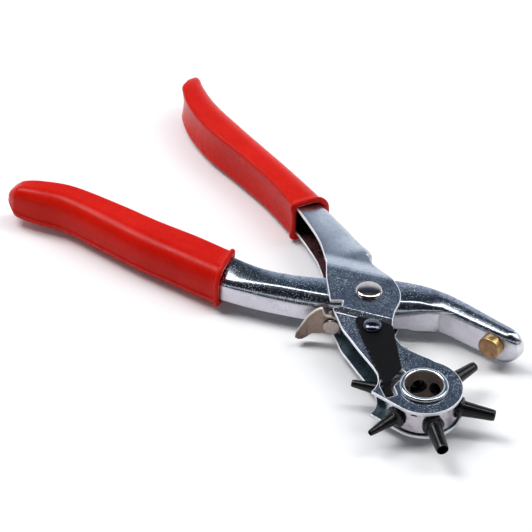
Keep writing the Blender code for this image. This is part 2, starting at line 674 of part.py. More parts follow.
def latch_spacer(mat):
    """Bush on the rivet that holds the latch clear of the lever's web."""
    near = -LATCH_THICKNESS - GAP
    far = near - LATCH_SPACER_LENGTH
    bore = LATCH_STUD_RADIUS + GAP
    profile = [(bore, far), (LATCH_SPACER_RADIUS, far), (LATCH_SPACER_RADIUS, near), (bore, near)]
    bm = bmesh.new()
    turned(bm, profile, latch_frame(), 24, closed=True)
    return make_object("latch_spacer", bm, mat)


# ---------------------------------------------------------------------------------------------- grips


def grip_ring(web_point, open_point, half_height, lower_corner, inset):
    """Rounded-rectangle section between the web side and the open side, shrunk by inset."""
    across = (open_point - web_point).normalized()
    start = web_point + across * inset
    width = (open_point - web_point).length - 2 * inset
    height = half_height - inset
    ring = []
    corners = ((GRIP_WEB_CORNER, 1), (GRIP_OPEN_CORNER, 1), (GRIP_OPEN_CORNER, -1), (lower_corner, -1))
    for number, (corner, sign) in enumerate(corners):
        radius = max(min(corner - inset, width * 0.48, height * 0.96), 0.2)
        near_web = number in (0, 3)
        middle = radius if near_web else width - radius
        for k in range(4):
            quarter = math.radians(30 * k) if number in (0, 2) else math.radians(90 - 30 * k)
            swing = radius * math.cos(quarter)
            rise = radius * math.sin(quarter)
            along_width = middle - swing if near_web else middle + swing
            ring.append(start + across * along_width + Vector((0, 0, sign * (height - radius + rise))))
    return ring


def grip(name, rows, tail, half_height, lower_corner, mouth_steps, mat):
    """Dipped plastic sleeve with a rolled mouth, closed beyond the end of its lever."""
    runs = smooth_curve(rows, 2)[:mouth_steps]
    offset = GRIP_WALL + GAP
    sections = []
    for station in reversed(tail):
        sections.append((Vector((*station[0:2], 0)), Vector((*station[2:4], 0)), station[4], lower_corner))
    for row in runs:
        web = Vector((row[0], row[1], 0))
        edge = Vector((row[2], row[3], 0))
        across = (edge - web).normalized()
        sections.append((web - across * offset, edge + across * offset, half_height + offset, lower_corner))
    rings = [grip_ring(*section, 0.0) for section in sections]
    web, edge, height, corner = sections[-1]
    lip = (web - sections[-2][0]).normalized()
    for ahead, inset in ((0.6, -GRIP_RIM), (2.2, -GRIP_RIM), (2.6, GRIP_WALL)):
        rings.append(grip_ring(web + lip * ahead, edge + lip * ahead, height, corner, inset))
    inner = [grip_ring(*section, GRIP_WALL) for section in sections[len(tail) :]]
    rings += list(reversed(inner))
    bm = bmesh.new()
    loft(bm, rings)
    return make_object(name, bm, mat)


# ---------------------------------------------------------------------------------------------- build


def build():
    clear_scene()
    zinc = material("zinc_plate", (0.62, 0.66, 0.72), 0.28, 1.0)
    drum_steel = material("drum_steel", (0.72, 0.72, 0.76), 0.3, 1.0)
    bright = material("polished_nickel", (0.78, 0.76, 0.72), 0.16, 1.0)
    latch_nickel = material("latch_nickel", (0.62, 0.55, 0.5), 0.22, 1.0)
    black = material("black_oxide", (0.025, 0.025, 0.028), 0.32, 0.7)
    dark_steel = material("spring_steel", (0.03, 0.03, 0.034), 0.42, 0.6)
    brass = material("brass", (0.78, 0.55, 0.25), 0.3, 1.0)
    red = material("red_vinyl", (0.75, 0.03, 0.025), 0.25, 0.0)

    pivot_bm = bmesh.new()
    hole = RIVET_RADIUS + GAP
    turned(pivot_bm, ((0, -12), (hole, -12), (hole, 12), (0, 12)), Matrix.Identity(4), 32)
    pivot_hole = cutter("pivot_hole", pivot_bm)

    anvil_lever(zinc, pivot_hole)
    head_lever(zinc, pivot_hole)
    main_rivet(bright)
    return_spring(dark_steel)
    turret_drum(drum_steel)
    turret_hub(bright)
    for number, size in enumerate(PUNCH_SIZES):
        name = "punch_tube_" + str(size).replace(".", "_") + "_mm"
        punch_tube(name, size, ACTIVE_PUNCH_ANGLE - 60 * number, black)
    anvil_pad(brass)
    index_spring(dark_steel)
    index_spring_rivet(black)
    latch(latch_nickel)
    latch_rivet(latch_nickel)
    latch_spacer(latch_nickel)
    grip("anvil_grip", ANVIL_STATIONS, ANVIL_GRIP_TAIL, ANVIL_HALF_HEIGHT, GRIP_TIGHT_CORNER, 11, red)
    grip("head_grip", HEAD_STATIONS, HEAD_GRIP_TAIL, HEAD_TAIL_HALF_HEIGHT, GRIP_WEB_CORNER, 12, red)


build()
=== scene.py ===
"""Looks of the revolving leather punch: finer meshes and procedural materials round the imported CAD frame.

Lengths are in millimetres and heights are measured from the tool's middle plane, until a mesh becomes an
object in the row frame, in metres.
"""

import json
import math

import bmesh
import bpy
from mathutils import Matrix, Quaternion, Vector


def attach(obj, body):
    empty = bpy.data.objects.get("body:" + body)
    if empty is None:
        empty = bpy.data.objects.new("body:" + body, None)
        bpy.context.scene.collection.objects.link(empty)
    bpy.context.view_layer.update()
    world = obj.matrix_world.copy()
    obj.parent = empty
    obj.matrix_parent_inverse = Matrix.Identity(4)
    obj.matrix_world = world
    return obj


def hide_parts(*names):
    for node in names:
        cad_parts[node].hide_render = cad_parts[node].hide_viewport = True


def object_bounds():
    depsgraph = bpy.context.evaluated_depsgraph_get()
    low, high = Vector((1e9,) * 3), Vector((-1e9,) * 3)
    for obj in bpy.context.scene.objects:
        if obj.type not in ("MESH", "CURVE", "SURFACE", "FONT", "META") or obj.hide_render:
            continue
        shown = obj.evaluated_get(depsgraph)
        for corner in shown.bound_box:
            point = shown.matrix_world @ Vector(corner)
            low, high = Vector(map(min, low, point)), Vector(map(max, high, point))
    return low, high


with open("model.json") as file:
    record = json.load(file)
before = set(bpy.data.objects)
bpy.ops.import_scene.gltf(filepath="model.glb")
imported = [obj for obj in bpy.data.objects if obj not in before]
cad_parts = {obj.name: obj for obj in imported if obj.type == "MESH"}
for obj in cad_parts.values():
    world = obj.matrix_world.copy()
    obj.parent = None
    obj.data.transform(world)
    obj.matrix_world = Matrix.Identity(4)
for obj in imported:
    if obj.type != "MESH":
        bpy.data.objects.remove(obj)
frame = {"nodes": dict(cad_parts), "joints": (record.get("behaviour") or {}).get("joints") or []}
cad_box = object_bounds()

MM = 0.001
JOINTS = {joint["name"]: joint for joint in frame["joints"]}
MIDDLE = JOINTS["lever_pivot"]["pos_m"][2] / MM
TURRET = Vector((JOINTS["turret_spin"]["pos_m"][0] / MM, JOINTS["turret_spin"]["pos_m"][1] / MM, 0))
UP = Vector((0, 0, 1))
GAP = 0.3
CORNER_REACH = 0.45  # share of a side that a rounded corner may take
SMALLEST_CORNER = 0.02
FLATTEST_CORNER = 87  # half the angle of a corner too flat to round
SHARP_ANGLE = 40
TURNED_SHARP_ANGLE = 50
GRIP_SHARP_ANGLE = 60

# Sheet metal: each lever is a channel, a web with a flange above and a flange below
SHEET = 1.5
BEND_RADIUS = 4.0
BEND_STEPS = 14
FLANGE_SHARES = (0.07, 0.14, 0.21, 0.28, 0.36, 0.46, 0.6, 0.8, 1.0)
PLATE_INDEX = BEND_STEPS + 1  # the row's point where the bend meets the flat
STATION_STEPS = 6
HIDDEN_ROWS = 3  # rows left off at the end inside the grip
EDGE_BEVEL = 0.34
HIDDEN_BEVEL = 0.15
SHOULDER = (1.0, 2.0)  # share of a flange that its crown takes up, power of that curve
CUT_REACH = 12.0  # beyond the tool's upper and lower faces
UPPER_CUT = 3.0  # above the middle plane, under the upper flange
# How far a face must lean to count as level, as part of the web, as facing the channel's mouth
LEVEL_FACING = 0.2
WEB_FACING = 0.35
MOUTH_FACING = 0.4

# Anvil lever; the ranges are stretches of x over which the section changes
ANVIL_HALF_HEIGHT = 6.9
ANVIL_LOWER_BEND_RADIUS = 1.9
JAW_DEPTH = 8.7
JAW_DEPTH_RANGE = (15.0, 19.5)
HANDLE_RANGE = (-62, -24)
MIDDLE_START_RANGE = (-56, -18)
MIDDLE_END_RANGE = (11, 26)
JAW_RANGE = (20, 28)
HANDLE_BEND_RANGE = (-30, 0)
FLANGE_FALL_RANGE = (-52, -30)
ANVIL_STATIONS = (
    (-146.0, -49.3, -149.5, -41.2), (-134.0, -44.9, -137.3, -35.0), (-113.0, -42.8, -114.8, -30.4),
    (-93.0, -41.0, -95.0, -27.3), (-74.0, -38.0, -76.6, -23.5), (-55.0, -34.7, -59.8, -20.9),
    (-38.9, -29.3, -45.0, -17.7), (-20.4, -20.4, -30.0, -10.3), (-3.0, -10.3, -15.0, 0.9),
    (6.0, -4.8, -3.5, 11.2), (13.5, 2.4, 5.0, 17.0), (20.4, 8.9, 14.0, 21.2), (25.2, 13.1, 21.8, 23.2),
    (27.3, 14.6, 25.0, 23.8), (30.0, 15.3, 28.5, 24.1), (36.0, 16.2, 35.0, 24.4),
    (46.0, 17.3, 45.2, 24.6), (57.4, 18.6, 56.6, 24.9),
)
CREASE_X = 26.6
CREASE_DEPTH = 0.35
CREASE_HALF_WIDTH = 0.8
CREASE_POINTS = 4  # how many of a row's points the fold line crosses
HANDLE_BEND_EXTRA = 0.9
MIDDLE_BEND_EXTRA = 3.2
MIDDLE_CREASE = 18.0
FLANGE_CROWN = 6.0
FULL_CROWN = 20.5
FLANGE_FALL = 0.55
HANDLE_SHOULDER_LESS = 0.3
JAW_SHOULDER_LESS = 0.5
SHOULDER_POWER_LESS = 0.7
JAW_BEND_RADIUS = 2.6
NOSE_STEPS = 28
NOSE_DEPTH = 5.8
NOSE_BEND_EXTRA = 2.8
NOSE_SHOULDER = (0.5, 1.3)
# Near the tip of the jaw's nose, faces turned to the given side are drawn near white: a painted highlight.
NOSE_HIGHLIGHT_X = 56.0
NOSE_HIGHLIGHT_SIDE = Vector((0.77, 0.64, 0))
NOSE_HIGHLIGHT_FACING = 0.3
WEB_LINE = 1.5  # how far the web's middle line runs below the middle plane
ANVIL_MOUTH = Vector((-0.3, 1, 0))  # the way the channel opens
ANVIL_STEM_HOLE = (-9, -1)
LATCH_STUD_HOLE = (-10.5, -5)

# Head lever: handle, fold, pivot plates and the two cheeks that hold the turret
HEAD_HALF_HEIGHT = 8.7
HEAD_TAIL_HALF_HEIGHT = 7.4
HEAD_MOUTH = Vector((-0.4, -0.9, 0))
HANDLE_CROWN = 14.0
HANDLE_CROWN_RANGE = (-31, -17)
HANDLE_SHOULDER = (1.0, 1.6)
HEAD_END_BEND_LESS = 1.3
HEAD_END_RANGE = (-26, -16)
FOLD_NORMAL = Vector((-0.40, 0.917, 0))
FOLD = (9.5, 19.5)
FOLD_STEPS = 12
JOGGLE_DROP = 1.7
JOGGLE_START = -1.5
JOGGLE_END = 1.3
JOGGLE_EASE = 0.1
JOGGLE_POINT = Vector((7.0, -12.35, 0))
JOGGLE_NORMAL = Vector((0.377, -0.926, 0))
HEAD_STATIONS = (
    (-147.0, 57.6, -150.5, 51.0), (-136.0, 53.4, -139.5, 43.4), (-120.0, 49.5, -123.0, 37.3),
    (-100.0, 45.0, -103.5, 33.9), (-80.0, 40.6, -84.0, 30.1), (-62.5, 36.6, -67.0, 25.0),
    (-48.6, 32.5, -54.0, 20.0), (-33.0, 28.2, -40.5, 13.7), (-24.0, 25.0, -33.0, 8.8),
    (-15.8, 21.6, -26.5, 3.5),
)
PLATE_SHOULDER = (
    (-14.6, 18.4), (-11.4, 16.2), (-5.0, 14.6), (2.0, 13.2), (9.1, 9.4), (13.4, 4.3), (16.0, -2.3),
)
PLATE_WAIST = ((19.5, -7.8), (24.5, -12.4), (31.0, -14.9), (37.8, -14.5), (43.5, -13.4))
PLATE_STEPS = 6
CHEEK_END_RADIUS = 16.0
CHEEK_ARC = (112.0, -88.0)
CHEEK_CORNER = ((38.7, -44.8), (38.2, -41.5), (36.5, -37.8), (33.5, -34.9))
CHEEK_EDGE = ((30.0, -33.2), (20.0, -29.6), (12.0, -26.4), (5.5, -23.8), (0.0, -20.3), (-5.3, -17.1))
LATCH_NOTCH = ((-2.55, -14.5), (-4.3, -11.7), (-8.4, -15.2), (-13.5, -10.4), (-18.9, -5.4))
LEAF_WINDOW_TIP = ((38.2, -33.0), (37.6, -37.8), (39.3, -40.0), (45.6, -43.7), (47.6, -39.2))
LEAF_WINDOW_ROOT = ((43.3, -36.2), (42.5, -30.3), (41.6, -26.6), (39.0, -26.2))
LEAF_WINDOW_CORNER = 0.7
CHEEK_ARC_STEPS = 60
CHEEK_STEPS = 4
# Inside faces of the head lever's handle left of this x, towards the grip, take the maroon zinc: a painted
# reflection of the red grip.
HANDLE_INSIDE_X = -20.0
# Plain faces of the head lever this far beyond the fold take the lighter handle zinc, a painted sheen.
HANDLE_LOOK_START = 12.0
# Upright web faces of the head lever right of this x go back to plain zinc, without the painted floor
# reflection.
WEB_END_X = -18.0

# Rivets, turret, anvil
RIVET_RADIUS = 3.5
RIVET_HEAD_RADIUS = 5.65
RIVET_FOOT_RADIUS = 4.0
RIVET_HEAD_HEIGHT = 1.75
RIVET_HEAD_SIDE = 0.35
# Dome slopes: (share of the radius, slope in degrees)
RIVET_DOME = ((0.0, 0.0), (0.8, 15.0), (0.9, 30.0), (1.0, 62.0))
LEAF_RIVET_DOME = ((0.0, 0.0), (0.7, 22.0), (0.9, 42.0), (1.0, 65.0))
DOME_STEPS = 24
DRUM_RADIUS = 15.0
DRUM_HALF_HEIGHT = 5.2
DRUM_WALL = 1.4
DRUM_BORE = 9.05
DRUM_RIM = ((0.5, 0), (0.15, 0.15), (0, 0.5))
DRUM_BEVEL = 0.12
NOTCH_HALF_WIDTH = 1.3
NOTCH_REACH = 2.4
NOTCH_DEPTH = 1.2
HUB_RADIUS = 8.75
HUB_BORE = 7.8
HUB_LIP_RADIUS = 10.2
HUB_LIP_HEIGHT = 1.4
HUB_ROLL = (15, 155)
HUB_ROLL_STEPS = 10
HUB_WINDOW_RADIUS = 3.6
HUB_WINDOW_REACH = (6.5, 9.4)
ACTIVE_PUNCH_ANGLE = 84.2
PUNCH_SIZES = (3.5, 4.0, 4.5, 2.0, 2.5, 3.0)
PUNCH_TIP_RADIUS = 30.0
PUNCH_ROOT_RADIUS = 9.7
PUNCH_STEM_RADIUS = 3.1
PUNCH_STEM_HOLE = (12.5, 17)
PUNCH_NECK_RADIUS = 2.05
PUNCH_NECK_SHARE = 0.5
PUNCH_COLLAR_RADIUS = 4.6
PUNCH_RIM = 0.3
ANVIL_FACE = Vector((53.1, 13.9, 0))
ANVIL_ANGLE = -83.3
ANVIL_RADIUS = 5.0
ANVIL_HEIGHT = 3.9
ANVIL_STEM_RADIUS = 2.0
ANVIL_FACE_FACING = 0.9

# Index spring and latch
LEAF_THICKNESS = 1.0
LEAF_AXIS = Vector((0.743, -0.669, 0))
LEAF_RIVET = Vector((14.8, -15.6, 0))
LEAF_RIVET_RADIUS = 1.8
LEAF_RIVET_HEAD_RADIUS = 3.9
LEAF_DIP_RANGE = (53.5, 58.0)
LEAF_DIP = 1.75
LEAF_DIP_STEPS = 6
LEAF_BEVEL = 0.2
# Plan outline: (x, y, corner radius), root end first
LEAF_OUTLINE = (
    (20.3, -9.2, 1.2), (17.2, -9.6, 2), (8.6, -13.4, 2), (6.3, -14.9, 1.5), (6.4, -16.6, 1.5),
    (36.2, -36.3, 1.2), (40.2, -38.6, 1.0), (44.4, -42.4, 0.7), (46.2, -39.6, 0.7), (42.2, -36.9, 0.8),
    (40.7, -34.4, 0.8), (39.6, -26.6, 1.5), (21.6, -10.2, 1.5),
)
LATCH_STUD = Vector((-3.9, -18.6, -0.9))
LATCH_ANGLE = 35.7
LATCH_THICKNESS = 1.5
LATCH_STUD_RADIUS = 2.0
LATCH_HEAD_RADIUS = 3.85
LATCH_TAIL_RADIUS = 2.8
LATCH_SPACER_LENGTH = 4.3
LATCH_END_RADIUS = 4.15
LATCH_END_ARC = (-95, 80, 24)  # start, end, steps
LATCH_HOLE = (-3, 1)
LATCH_TONGUE = ((-0.5, 5.0), (-2.9, 5.2), (-3.7, 6.9), (-4.2, 9.1), (-5.2, 9.0), (-7.4, 7.5), (-10.2, 4.5))
LATCH_TAB = ((-12.4, 0.8), (-15.0, -3.2), (-15.1, -5.4), (-14.0, -7.2), (-12.3, -8.0), (-10.4, -7.2))
LATCH_TAB_ROOT = ((-8.1, -5.2), (-5.4, -4.9))
LATCH_CORNER = 1.2
LATCH_TAB_START = -8.5
LATCH_TAB_CURL = 3.6  # how far the tab stands out once it is LATCH_TAB_REACH beyond its start
LATCH_TAB_REACH = 7.0
LATCH_TAB_SLICES = 16
LATCH_SLICE = 0.5
LATCH_BEVEL = 0.38
LATCH_RIM_FACING = 0.6

# Grips
CORNER_STEPS = 8
GRIP_WALL = 1.4
GRIP_RIM = 1.2
GRIP_TAIL_TURNS = (22, 42, 59, 74, 86)
GRIP_SIDE_SHARES = (0.08, 0.11, 0.14, 0.3, 0.5, 0.7, 0.85)  # the second carries the seam
GRIP_SEAM = 0.25
GRIP_WEB_CORNER = 7.4
GRIP_OPEN_CORNER = 1.3
GRIP_HOLLOW = 0.8
GRIP_TIGHT_CORNER = 3.1
GRIP_BEAD = (-20, 200)
GRIP_BEAD_STEPS = 8
GRIP_BEAD_TURN_IN = 6  # the step after which the bead closes on the lever
GRIP_LEAST_CORNER = 0.2
GRIP_CORNER_ROOM = (0.48, 0.96)  # largest corner, as shares of the width and of half the height
GRIP_MOUTH_END = 1.8
# Each tail: web side, open side, the way it points, length
ANVIL_GRIP_TAIL = (Vector((-150.4, -53.2, 0)), Vector((-152.8, -42.6, 0)), Vector((-0.97, -0.25, 0)), 10.2)
ANVIL_GRIP_MOUTH = 5.0  # the station where the grip ends
HEAD_GRIP_TAIL = (Vector((-149.0, 60.0, 0)), Vector((-151.4, 51.6, 0)), Vector((-0.70, 0.714, 0)), 9.4)
HEAD_GRIP_MOUTH = 5.5


# ---------- materials


class Nodes:
    """A shader node tree, with short calls for the nodes used here."""

    def __init__(self, tree):
        self.tree = tree

    def add(self, kind, operation=None, **sockets):
        node = self.tree.nodes.new("ShaderNode" + kind)
        if operation:
            node.operation = operation
        for socket, value in sockets.items():
            node.inputs[socket].default_value = value
        return node

    def link(self, source, node, socket):
        self.tree.links.new(source, node.inputs[socket])

    def ramp(self, source, *stops):
        """Colour ramp through (place, grey level or colour) stops."""
        node = self.add("ValToRGB")
        elements = node.color_ramp.elements
        while len(elements) < len(stops):
            elements.new(1.0)
        for element, (place, color) in zip(elements, stops):
            if isinstance(color, float):
                color = (color, color, color)
            element.position = place
            element.color = (*color, 1.0)
        self.link(source, node, "Fac")
        return node.outputs["Color"]

    def mix(self, factor, first, second):
        """Blends two colours; each input is a number, a colour or another node's output."""
        node = self.add("Mix")
        node.data_type = "RGBA"
        for value, socket in ((factor, 0), (first, 6), (second, 7)):
            if isinstance(value, (float, int)):
                node.inputs[socket].default_value = value
            elif isinstance(value, tuple):
                node.inputs[socket].default_value = (*value, 1.0)
            else:
                self.link(value, node, socket)
        return node.outputs[2]


class Look(Nodes):
    """A material whose colour, roughness and relief come from procedural patterns."""

    def __init__(self, name, metallic=0.0, **sockets):
        self.mat = bpy.data.materials.new(name)
        self.mat.use_nodes = True
        super().__init__(self.mat.node_tree)
        self.bsdf = self.tree.nodes["Principled BSDF"]
        self.bsdf.inputs["Metallic"].default_value = metallic
        for socket, value in sockets.items():
            self.bsdf.inputs[socket.replace("_", " ")].default_value = value
        self.coord = self.add("TexCoord").outputs["Object"]
        self.normal = None

    def noise(self, scale, detail=2.0, roughness=0.5, stretch=None):
        node = self.add("TexNoise", Scale=scale, Detail=detail, Roughness=roughness)
        self.link(self.stretched(stretch), node, "Vector")
        return node.outputs["Fac"]

    def dots(self, scale, rarest, radius):
        """Small round spots of a radius in cells, in a random share of the cells."""
        node = self.add("TexVoronoi", Scale=scale)
        self.link(self.coord, node, "Vector")
        spot = self.ramp(node.outputs["Distance"], (radius * 0.6, 1.0), (radius, 0.0))
        chosen = self.ramp(node.outputs["Color"], (rarest, 0.0), (rarest + 0.1, 1.0))
        return self.mix(chosen, (0.0, 0.0, 0.0), spot)

    def stretched(self, stretch):
        """Coordinates turned to an angle in plan and scaled along three axes, for grain and scratches."""
        if stretch is None:
            return self.coord
        degrees, scale = stretch
        turn = self.add("Mapping", Rotation=(0, 0, math.radians(-degrees)))
        self.link(self.coord, turn, "Vector")
        squeeze = self.add("Mapping", Scale=scale)
        self.link(turn.outputs["Vector"], squeeze, "Vector")
        return squeeze.outputs["Vector"]

    def color(self, source):
        self.link(source, self.bsdf, "Base Color")

    def roughness(self, scale, low, high, detail=3.0):
        """Uneven gloss between two roughness values."""
        gloss = self.noise(scale, detail, 0.6)
        self.link(self.ramp(gloss, (0.3, low), (0.7, high)), self.bsdf, "Roughness")

    def bump(self, height, strength, depth):
        """Adds surface relief, depth millimetres deep, on top of any relief already there."""
        node = self.add("Bump", Strength=strength, Distance=depth * MM)
        self.link(height, node, "Height")
        if self.normal:
            self.link(self.normal, node, "Normal")
        self.normal = node.outputs["Normal"]
        self.link(self.normal, self.bsdf, "Normal")


def plated(name, dark, light, sparkle, rough, scratch_angle, glitter=1.0, metallic=1.0):
    """Plated sheet steel: soft tone changes, scratches along the handling direction, and painted glints:
    near-white, barely metallic dots standing in for light glinting off the plating.
    """
    look = Look(name, metallic=metallic)
    tone = look.ramp(look.noise(34, 3.0, 0.55), (0.35, dark), (0.65, light))
    stain = look.noise(420, 4.0, 0.8)
    tone = look.mix(look.ramp(stain, (0.36, 0.7 * glitter), (0.5, 0.0)), tone, tuple(c * 0.35 for c in dark))
    # Painted glints: dots of the sparkle colour, gathered in patches, standing in for light glinting off the
    # plating's crystals.
    patches = look.ramp(look.noise(75, 3.0, 0.6), (0.36, 0.35 * glitter), (0.6, glitter))
    grain = look.dots(2000, 0.5, 0.34)
    glints = look.mix(grain, (0.0, 0.0, 0.0), patches)
    tone = look.mix(glints, tone, sparkle)
    scratch = look.noise(34, 2.0, 0.5, (scratch_angle, (1.2, 40.0, 40.0)))
    scratch_mask = look.ramp(scratch, (0.66, 0.0), (0.69, 0.35), (0.72, 0.0))
    look.color(look.mix(scratch_mask, tone, sparkle))
    # The painted glints carry little metal, so they show as bright spots under any light.
    look.link(look.mix(glints, (metallic,) * 3, (0.15 * metallic,) * 3), look.bsdf, "Metallic")
    look.roughness(120, rough * 0.8, rough * 1.25)
    look.bump(look.noise(22, 1.0, 0.4), 0.5, 0.9)
    look.bump(grain, 0.3 * glitter, 0.03)
    look.bump(scratch_mask, 0.2, 0.02)
    return look.mat


def blackened(name, base, worn, rough, gloss, wear_low=0.64):
    """Black oxide or black spring steel with a few worn spots."""
    look = Look(name, Specular_IOR_Level=gloss)
    rub = look.noise(160, 5.0, 0.65)
    tone = look.mix(look.ramp(rub, (wear_low, 0.0), (wear_low + 0.13, 0.35)), base, worn)
    dust = look.noise(1300, 2.0, 0.6)
    look.color(look.mix(look.ramp(dust, (0.68, 0.0), (0.78, 0.3)), tone, worn))
    look.roughness(300, rough * 0.8, rough * 1.3)
    look.bump(look.noise(700, 3.0, 0.6), 0.25, 0.03)
    return look.mat


def vinyl(name, base, deep, pale):
    """Dipped PVC: glossy, very slightly uneven, with a little dust."""
    look = Look(name, Specular_IOR_Level=0.1)
    tone = look.ramp(look.noise(38, 3.0, 0.6), (0.3, deep), (0.7, base))
    streak = look.noise(24, 3.0, 0.6, (18, (1.0, 7.0, 7.0)))
    tone = look.mix(look.ramp(streak, (0.45, 0.0), (0.75, 0.5)), tone, deep)
    dust = look.noise(1100, 2.0, 0.6)
    look.color(look.mix(look.ramp(dust, (0.72, 0.0), (0.82, 0.3)), tone, pale))
    look.roughness(210, 0.2, 0.34, 4.0)
    look.bump(look.noise(28, 2.0, 0.5), 0.35, 0.35)
    return look.mat


def turned_brass(name, dark, light, rough):
    """Brass with a worn tone and small dents."""
    look = Look(name, metallic=1.0)
    tone = look.ramp(look.noise(240, 4.0, 0.65), (0.3, dark), (0.7, light))
    spots = look.noise(900, 3.0, 0.7)
    look.color(look.mix(look.ramp(spots, (0.28, 0.75), (0.42, 0.0)), tone, (0.16, 0.08, 0.04)))
    look.roughness(500, rough * 0.8, rough * 1.3)
    look.bump(spots, 0.35, 0.05)
    return look.mat


def floor_paper():
    look = Look("studio_floor", Roughness=0.75, Specular_IOR_Level=0.2)
    look.color(look.ramp(look.noise(3, 2.0, 0.5), (0.3, (0.9, 0.9, 0.91)), (0.7, (0.93, 0.93, 0.94))))
    look.bump(look.noise(900, 2.0, 0.5), 0.05, 0.05)
    return look.mat


ZINC = plated("zinc_plate", (0.27, 0.31, 0.37), (0.38, 0.41, 0.47), (0.92, 0.95, 1.0), 0.17, -35)
# Lighter zinc for the head lever's handle beyond the fold: a painted sheen, the brighter reflection of the
# handle's tilted top.
ZINC_HANDLE_SHEEN = plated("zinc_handle", (0.4, 0.44, 0.5), (0.54, 0.57, 0.63), (0.9, 0.93, 1.0), 0.24, -35, 0.3)
# Near-white zinc for the tip of the jaw's nose: a painted highlight.
ZINC_NOSE_HIGHLIGHT = plated(
    "zinc_nose_painted_highlight", (0.64, 0.65, 0.69), (0.82, 0.83, 0.86), (1.0, 1.0, 1.0), 0.26, -35, 0.3
)
# Near-white zinc for the sheets' rims, bevels and cut walls: a painted highlight line along every edge.
ZINC_EDGE_HIGHLIGHT = plated(
    "zinc_edge_painted_highlight", (0.74, 0.75, 0.8), (0.88, 0.89, 0.93), (1.0, 1.0, 1.0), 0.38, 10, 0.3, 0.3
)
# Lighter, lilac zinc for the upright outer faces of the webs: a painted reflection of the pale floor.
ZINC_WEB_FLOOR_REFLECTION = plated("zinc_web_painted_floor_reflection", (0.55, 0.54, 0.6), (0.66, 0.65, 0.71), (0.95, 0.95, 1.0), 0.34, -35, 0.25)
# Dark teal zinc for the faces that look into the channels: painted shade.
ZINC_INSIDE_SHADE = plated("zinc_inside", (0.1, 0.17, 0.22), (0.2, 0.29, 0.36), (0.5, 0.56, 0.6), 0.34, 20)
# Maroon zinc inside the head lever's handle: a painted reflection of the red grip, with painted shade.
ZINC_HANDLE_RED_REFLECTION = plated(
    "zinc_handle_inside", (0.14, 0.05, 0.06), (0.24, 0.1, 0.11), (0.5, 0.4, 0.42), 0.34, 20
)
SHEET_LOOKS = [ZINC, ZINC_EDGE_HIGHLIGHT, ZINC_INSIDE_SHADE, ZINC_HANDLE_RED_REFLECTION, ZINC_WEB_FLOOR_REFLECTION, ZINC_HANDLE_SHEEN, ZINC_NOSE_HIGHLIGHT]
# EDGE is the painted edge highlight, INSIDE painted shade, HANDLE_INSIDE a painted red reflection with shade,
# WEB a painted floor reflection, HANDLE a painted sheen, NOSE a painted highlight.
FLAT, EDGE, INSIDE, HANDLE_INSIDE, WEB, HANDLE, NOSE = range(len(SHEET_LOOKS))
DRUM_STEEL = plated("drum_steel", (0.42, 0.39, 0.43), (0.56, 0.53, 0.57), (0.93, 0.91, 0.94), 0.24, 90, 0.6)
NICKEL = plated("polished_nickel", (0.4, 0.45, 0.5), (0.54, 0.59, 0.64), (0.95, 0.96, 0.98), 0.16, 20, 0.5)
RIVET_NICKEL = plated("rivet_nickel", (0.4, 0.36, 0.34), (0.55, 0.5, 0.47), (0.9, 0.86, 0.82), 0.1, 20, 0.3)
BLACK_NICKEL = plated("black_nickel", (0.05, 0.055, 0.075), (0.1, 0.11, 0.14), (0.6, 0.6, 0.7), 0.12, 20, 0.3)
# Darker, browner colour for the hub's bore and window walls: painted shade inside the tube.
HUB_BORE_SHADE = plated(
    "hub_inside", (0.18, 0.14, 0.12), (0.3, 0.245, 0.215), (0.6, 0.55, 0.52), 0.4, 20, 0.6, 0.6
)
LATCH_NICKEL = plated(
    "latch_nickel", (0.19, 0.137, 0.112), (0.3, 0.228, 0.195), (0.6, 0.52, 0.46), 0.3, 35, 0.5
)
# Much lighter colour for the latch's rim and bevels: a painted highlight along its edges.
LATCH_RIM_HIGHLIGHT = plated("latch_rim_painted_highlight", (0.66, 0.6, 0.53), (0.8, 0.75, 0.68), (0.95, 0.92, 0.88), 0.3, 35, 0.2, 0.4)
LATCH_HEAD = plated(
    "latch_rivet_nickel", (0.32, 0.27, 0.25), (0.43, 0.375, 0.35), (0.86, 0.82, 0.78), 0.26, 20, 0.4
)
BLACK_OXIDE = blackened("black_oxide", (0.003, 0.003, 0.004), (0.09, 0.09, 0.1), 0.2, 0.3)
SPRING_BLACK = blackened("spring_black", (0.004, 0.004, 0.005), (0.05, 0.05, 0.06), 0.48, 0.06, 0.7)
BRASS = turned_brass("brass_side", (0.38, 0.22, 0.08), (0.62, 0.42, 0.19), 0.28)
BRASS_FACE = turned_brass("brass_face", (0.22, 0.125, 0.065), (0.38, 0.235, 0.12), 0.46)
RED = vinyl("red_vinyl", (0.6, 0.01, 0.004), (0.5, 0.006, 0.002), (0.8, 0.18, 0.12))


# ---------- meshes


def smooth_curve(points, steps):
    """Catmull-Rom curve through plan points or 3-D points, with the given number of steps in each span."""
    points = [Vector((*p, 0)) if len(p) == 2 else Vector(p) for p in points]
    first = points[0] * 2 - points[1]
    last = points[-1] * 2 - points[-2]
    padded = [first, *points, last]
    curve = []
    for i in range(1, len(padded) - 2):
        a, b, c, d = padded[i - 1 : i + 3]
        square = a * 2 - b * 5 + c * 4 - d
        cube = b * 3 - a - c * 3 + d
        for k in range(steps):
            t = k / steps
            curve.append((b * 2 + (c - a) * t + square * t**2 + cube * t**3) / 2)
    curve.append(points[-1])
    return curve


def smoothstep(low, high, value):
    """Eased rise from 0 at low to 1 at high."""
    t = min(max((value - low) / (high - low), 0.0), 1.0)
    return t * t * (3 - 2 * t)


def polar(center, radius, degrees):
    """Plan point at a radius and angle about a centre."""
    angle = math.radians(degrees)
    return Vector((center[0] + radius * math.cos(angle), center[1] + radius * math.sin(angle), 0))


def spread(low, high, steps):
    return [low + (high - low) * k / steps for k in range(steps + 1)]


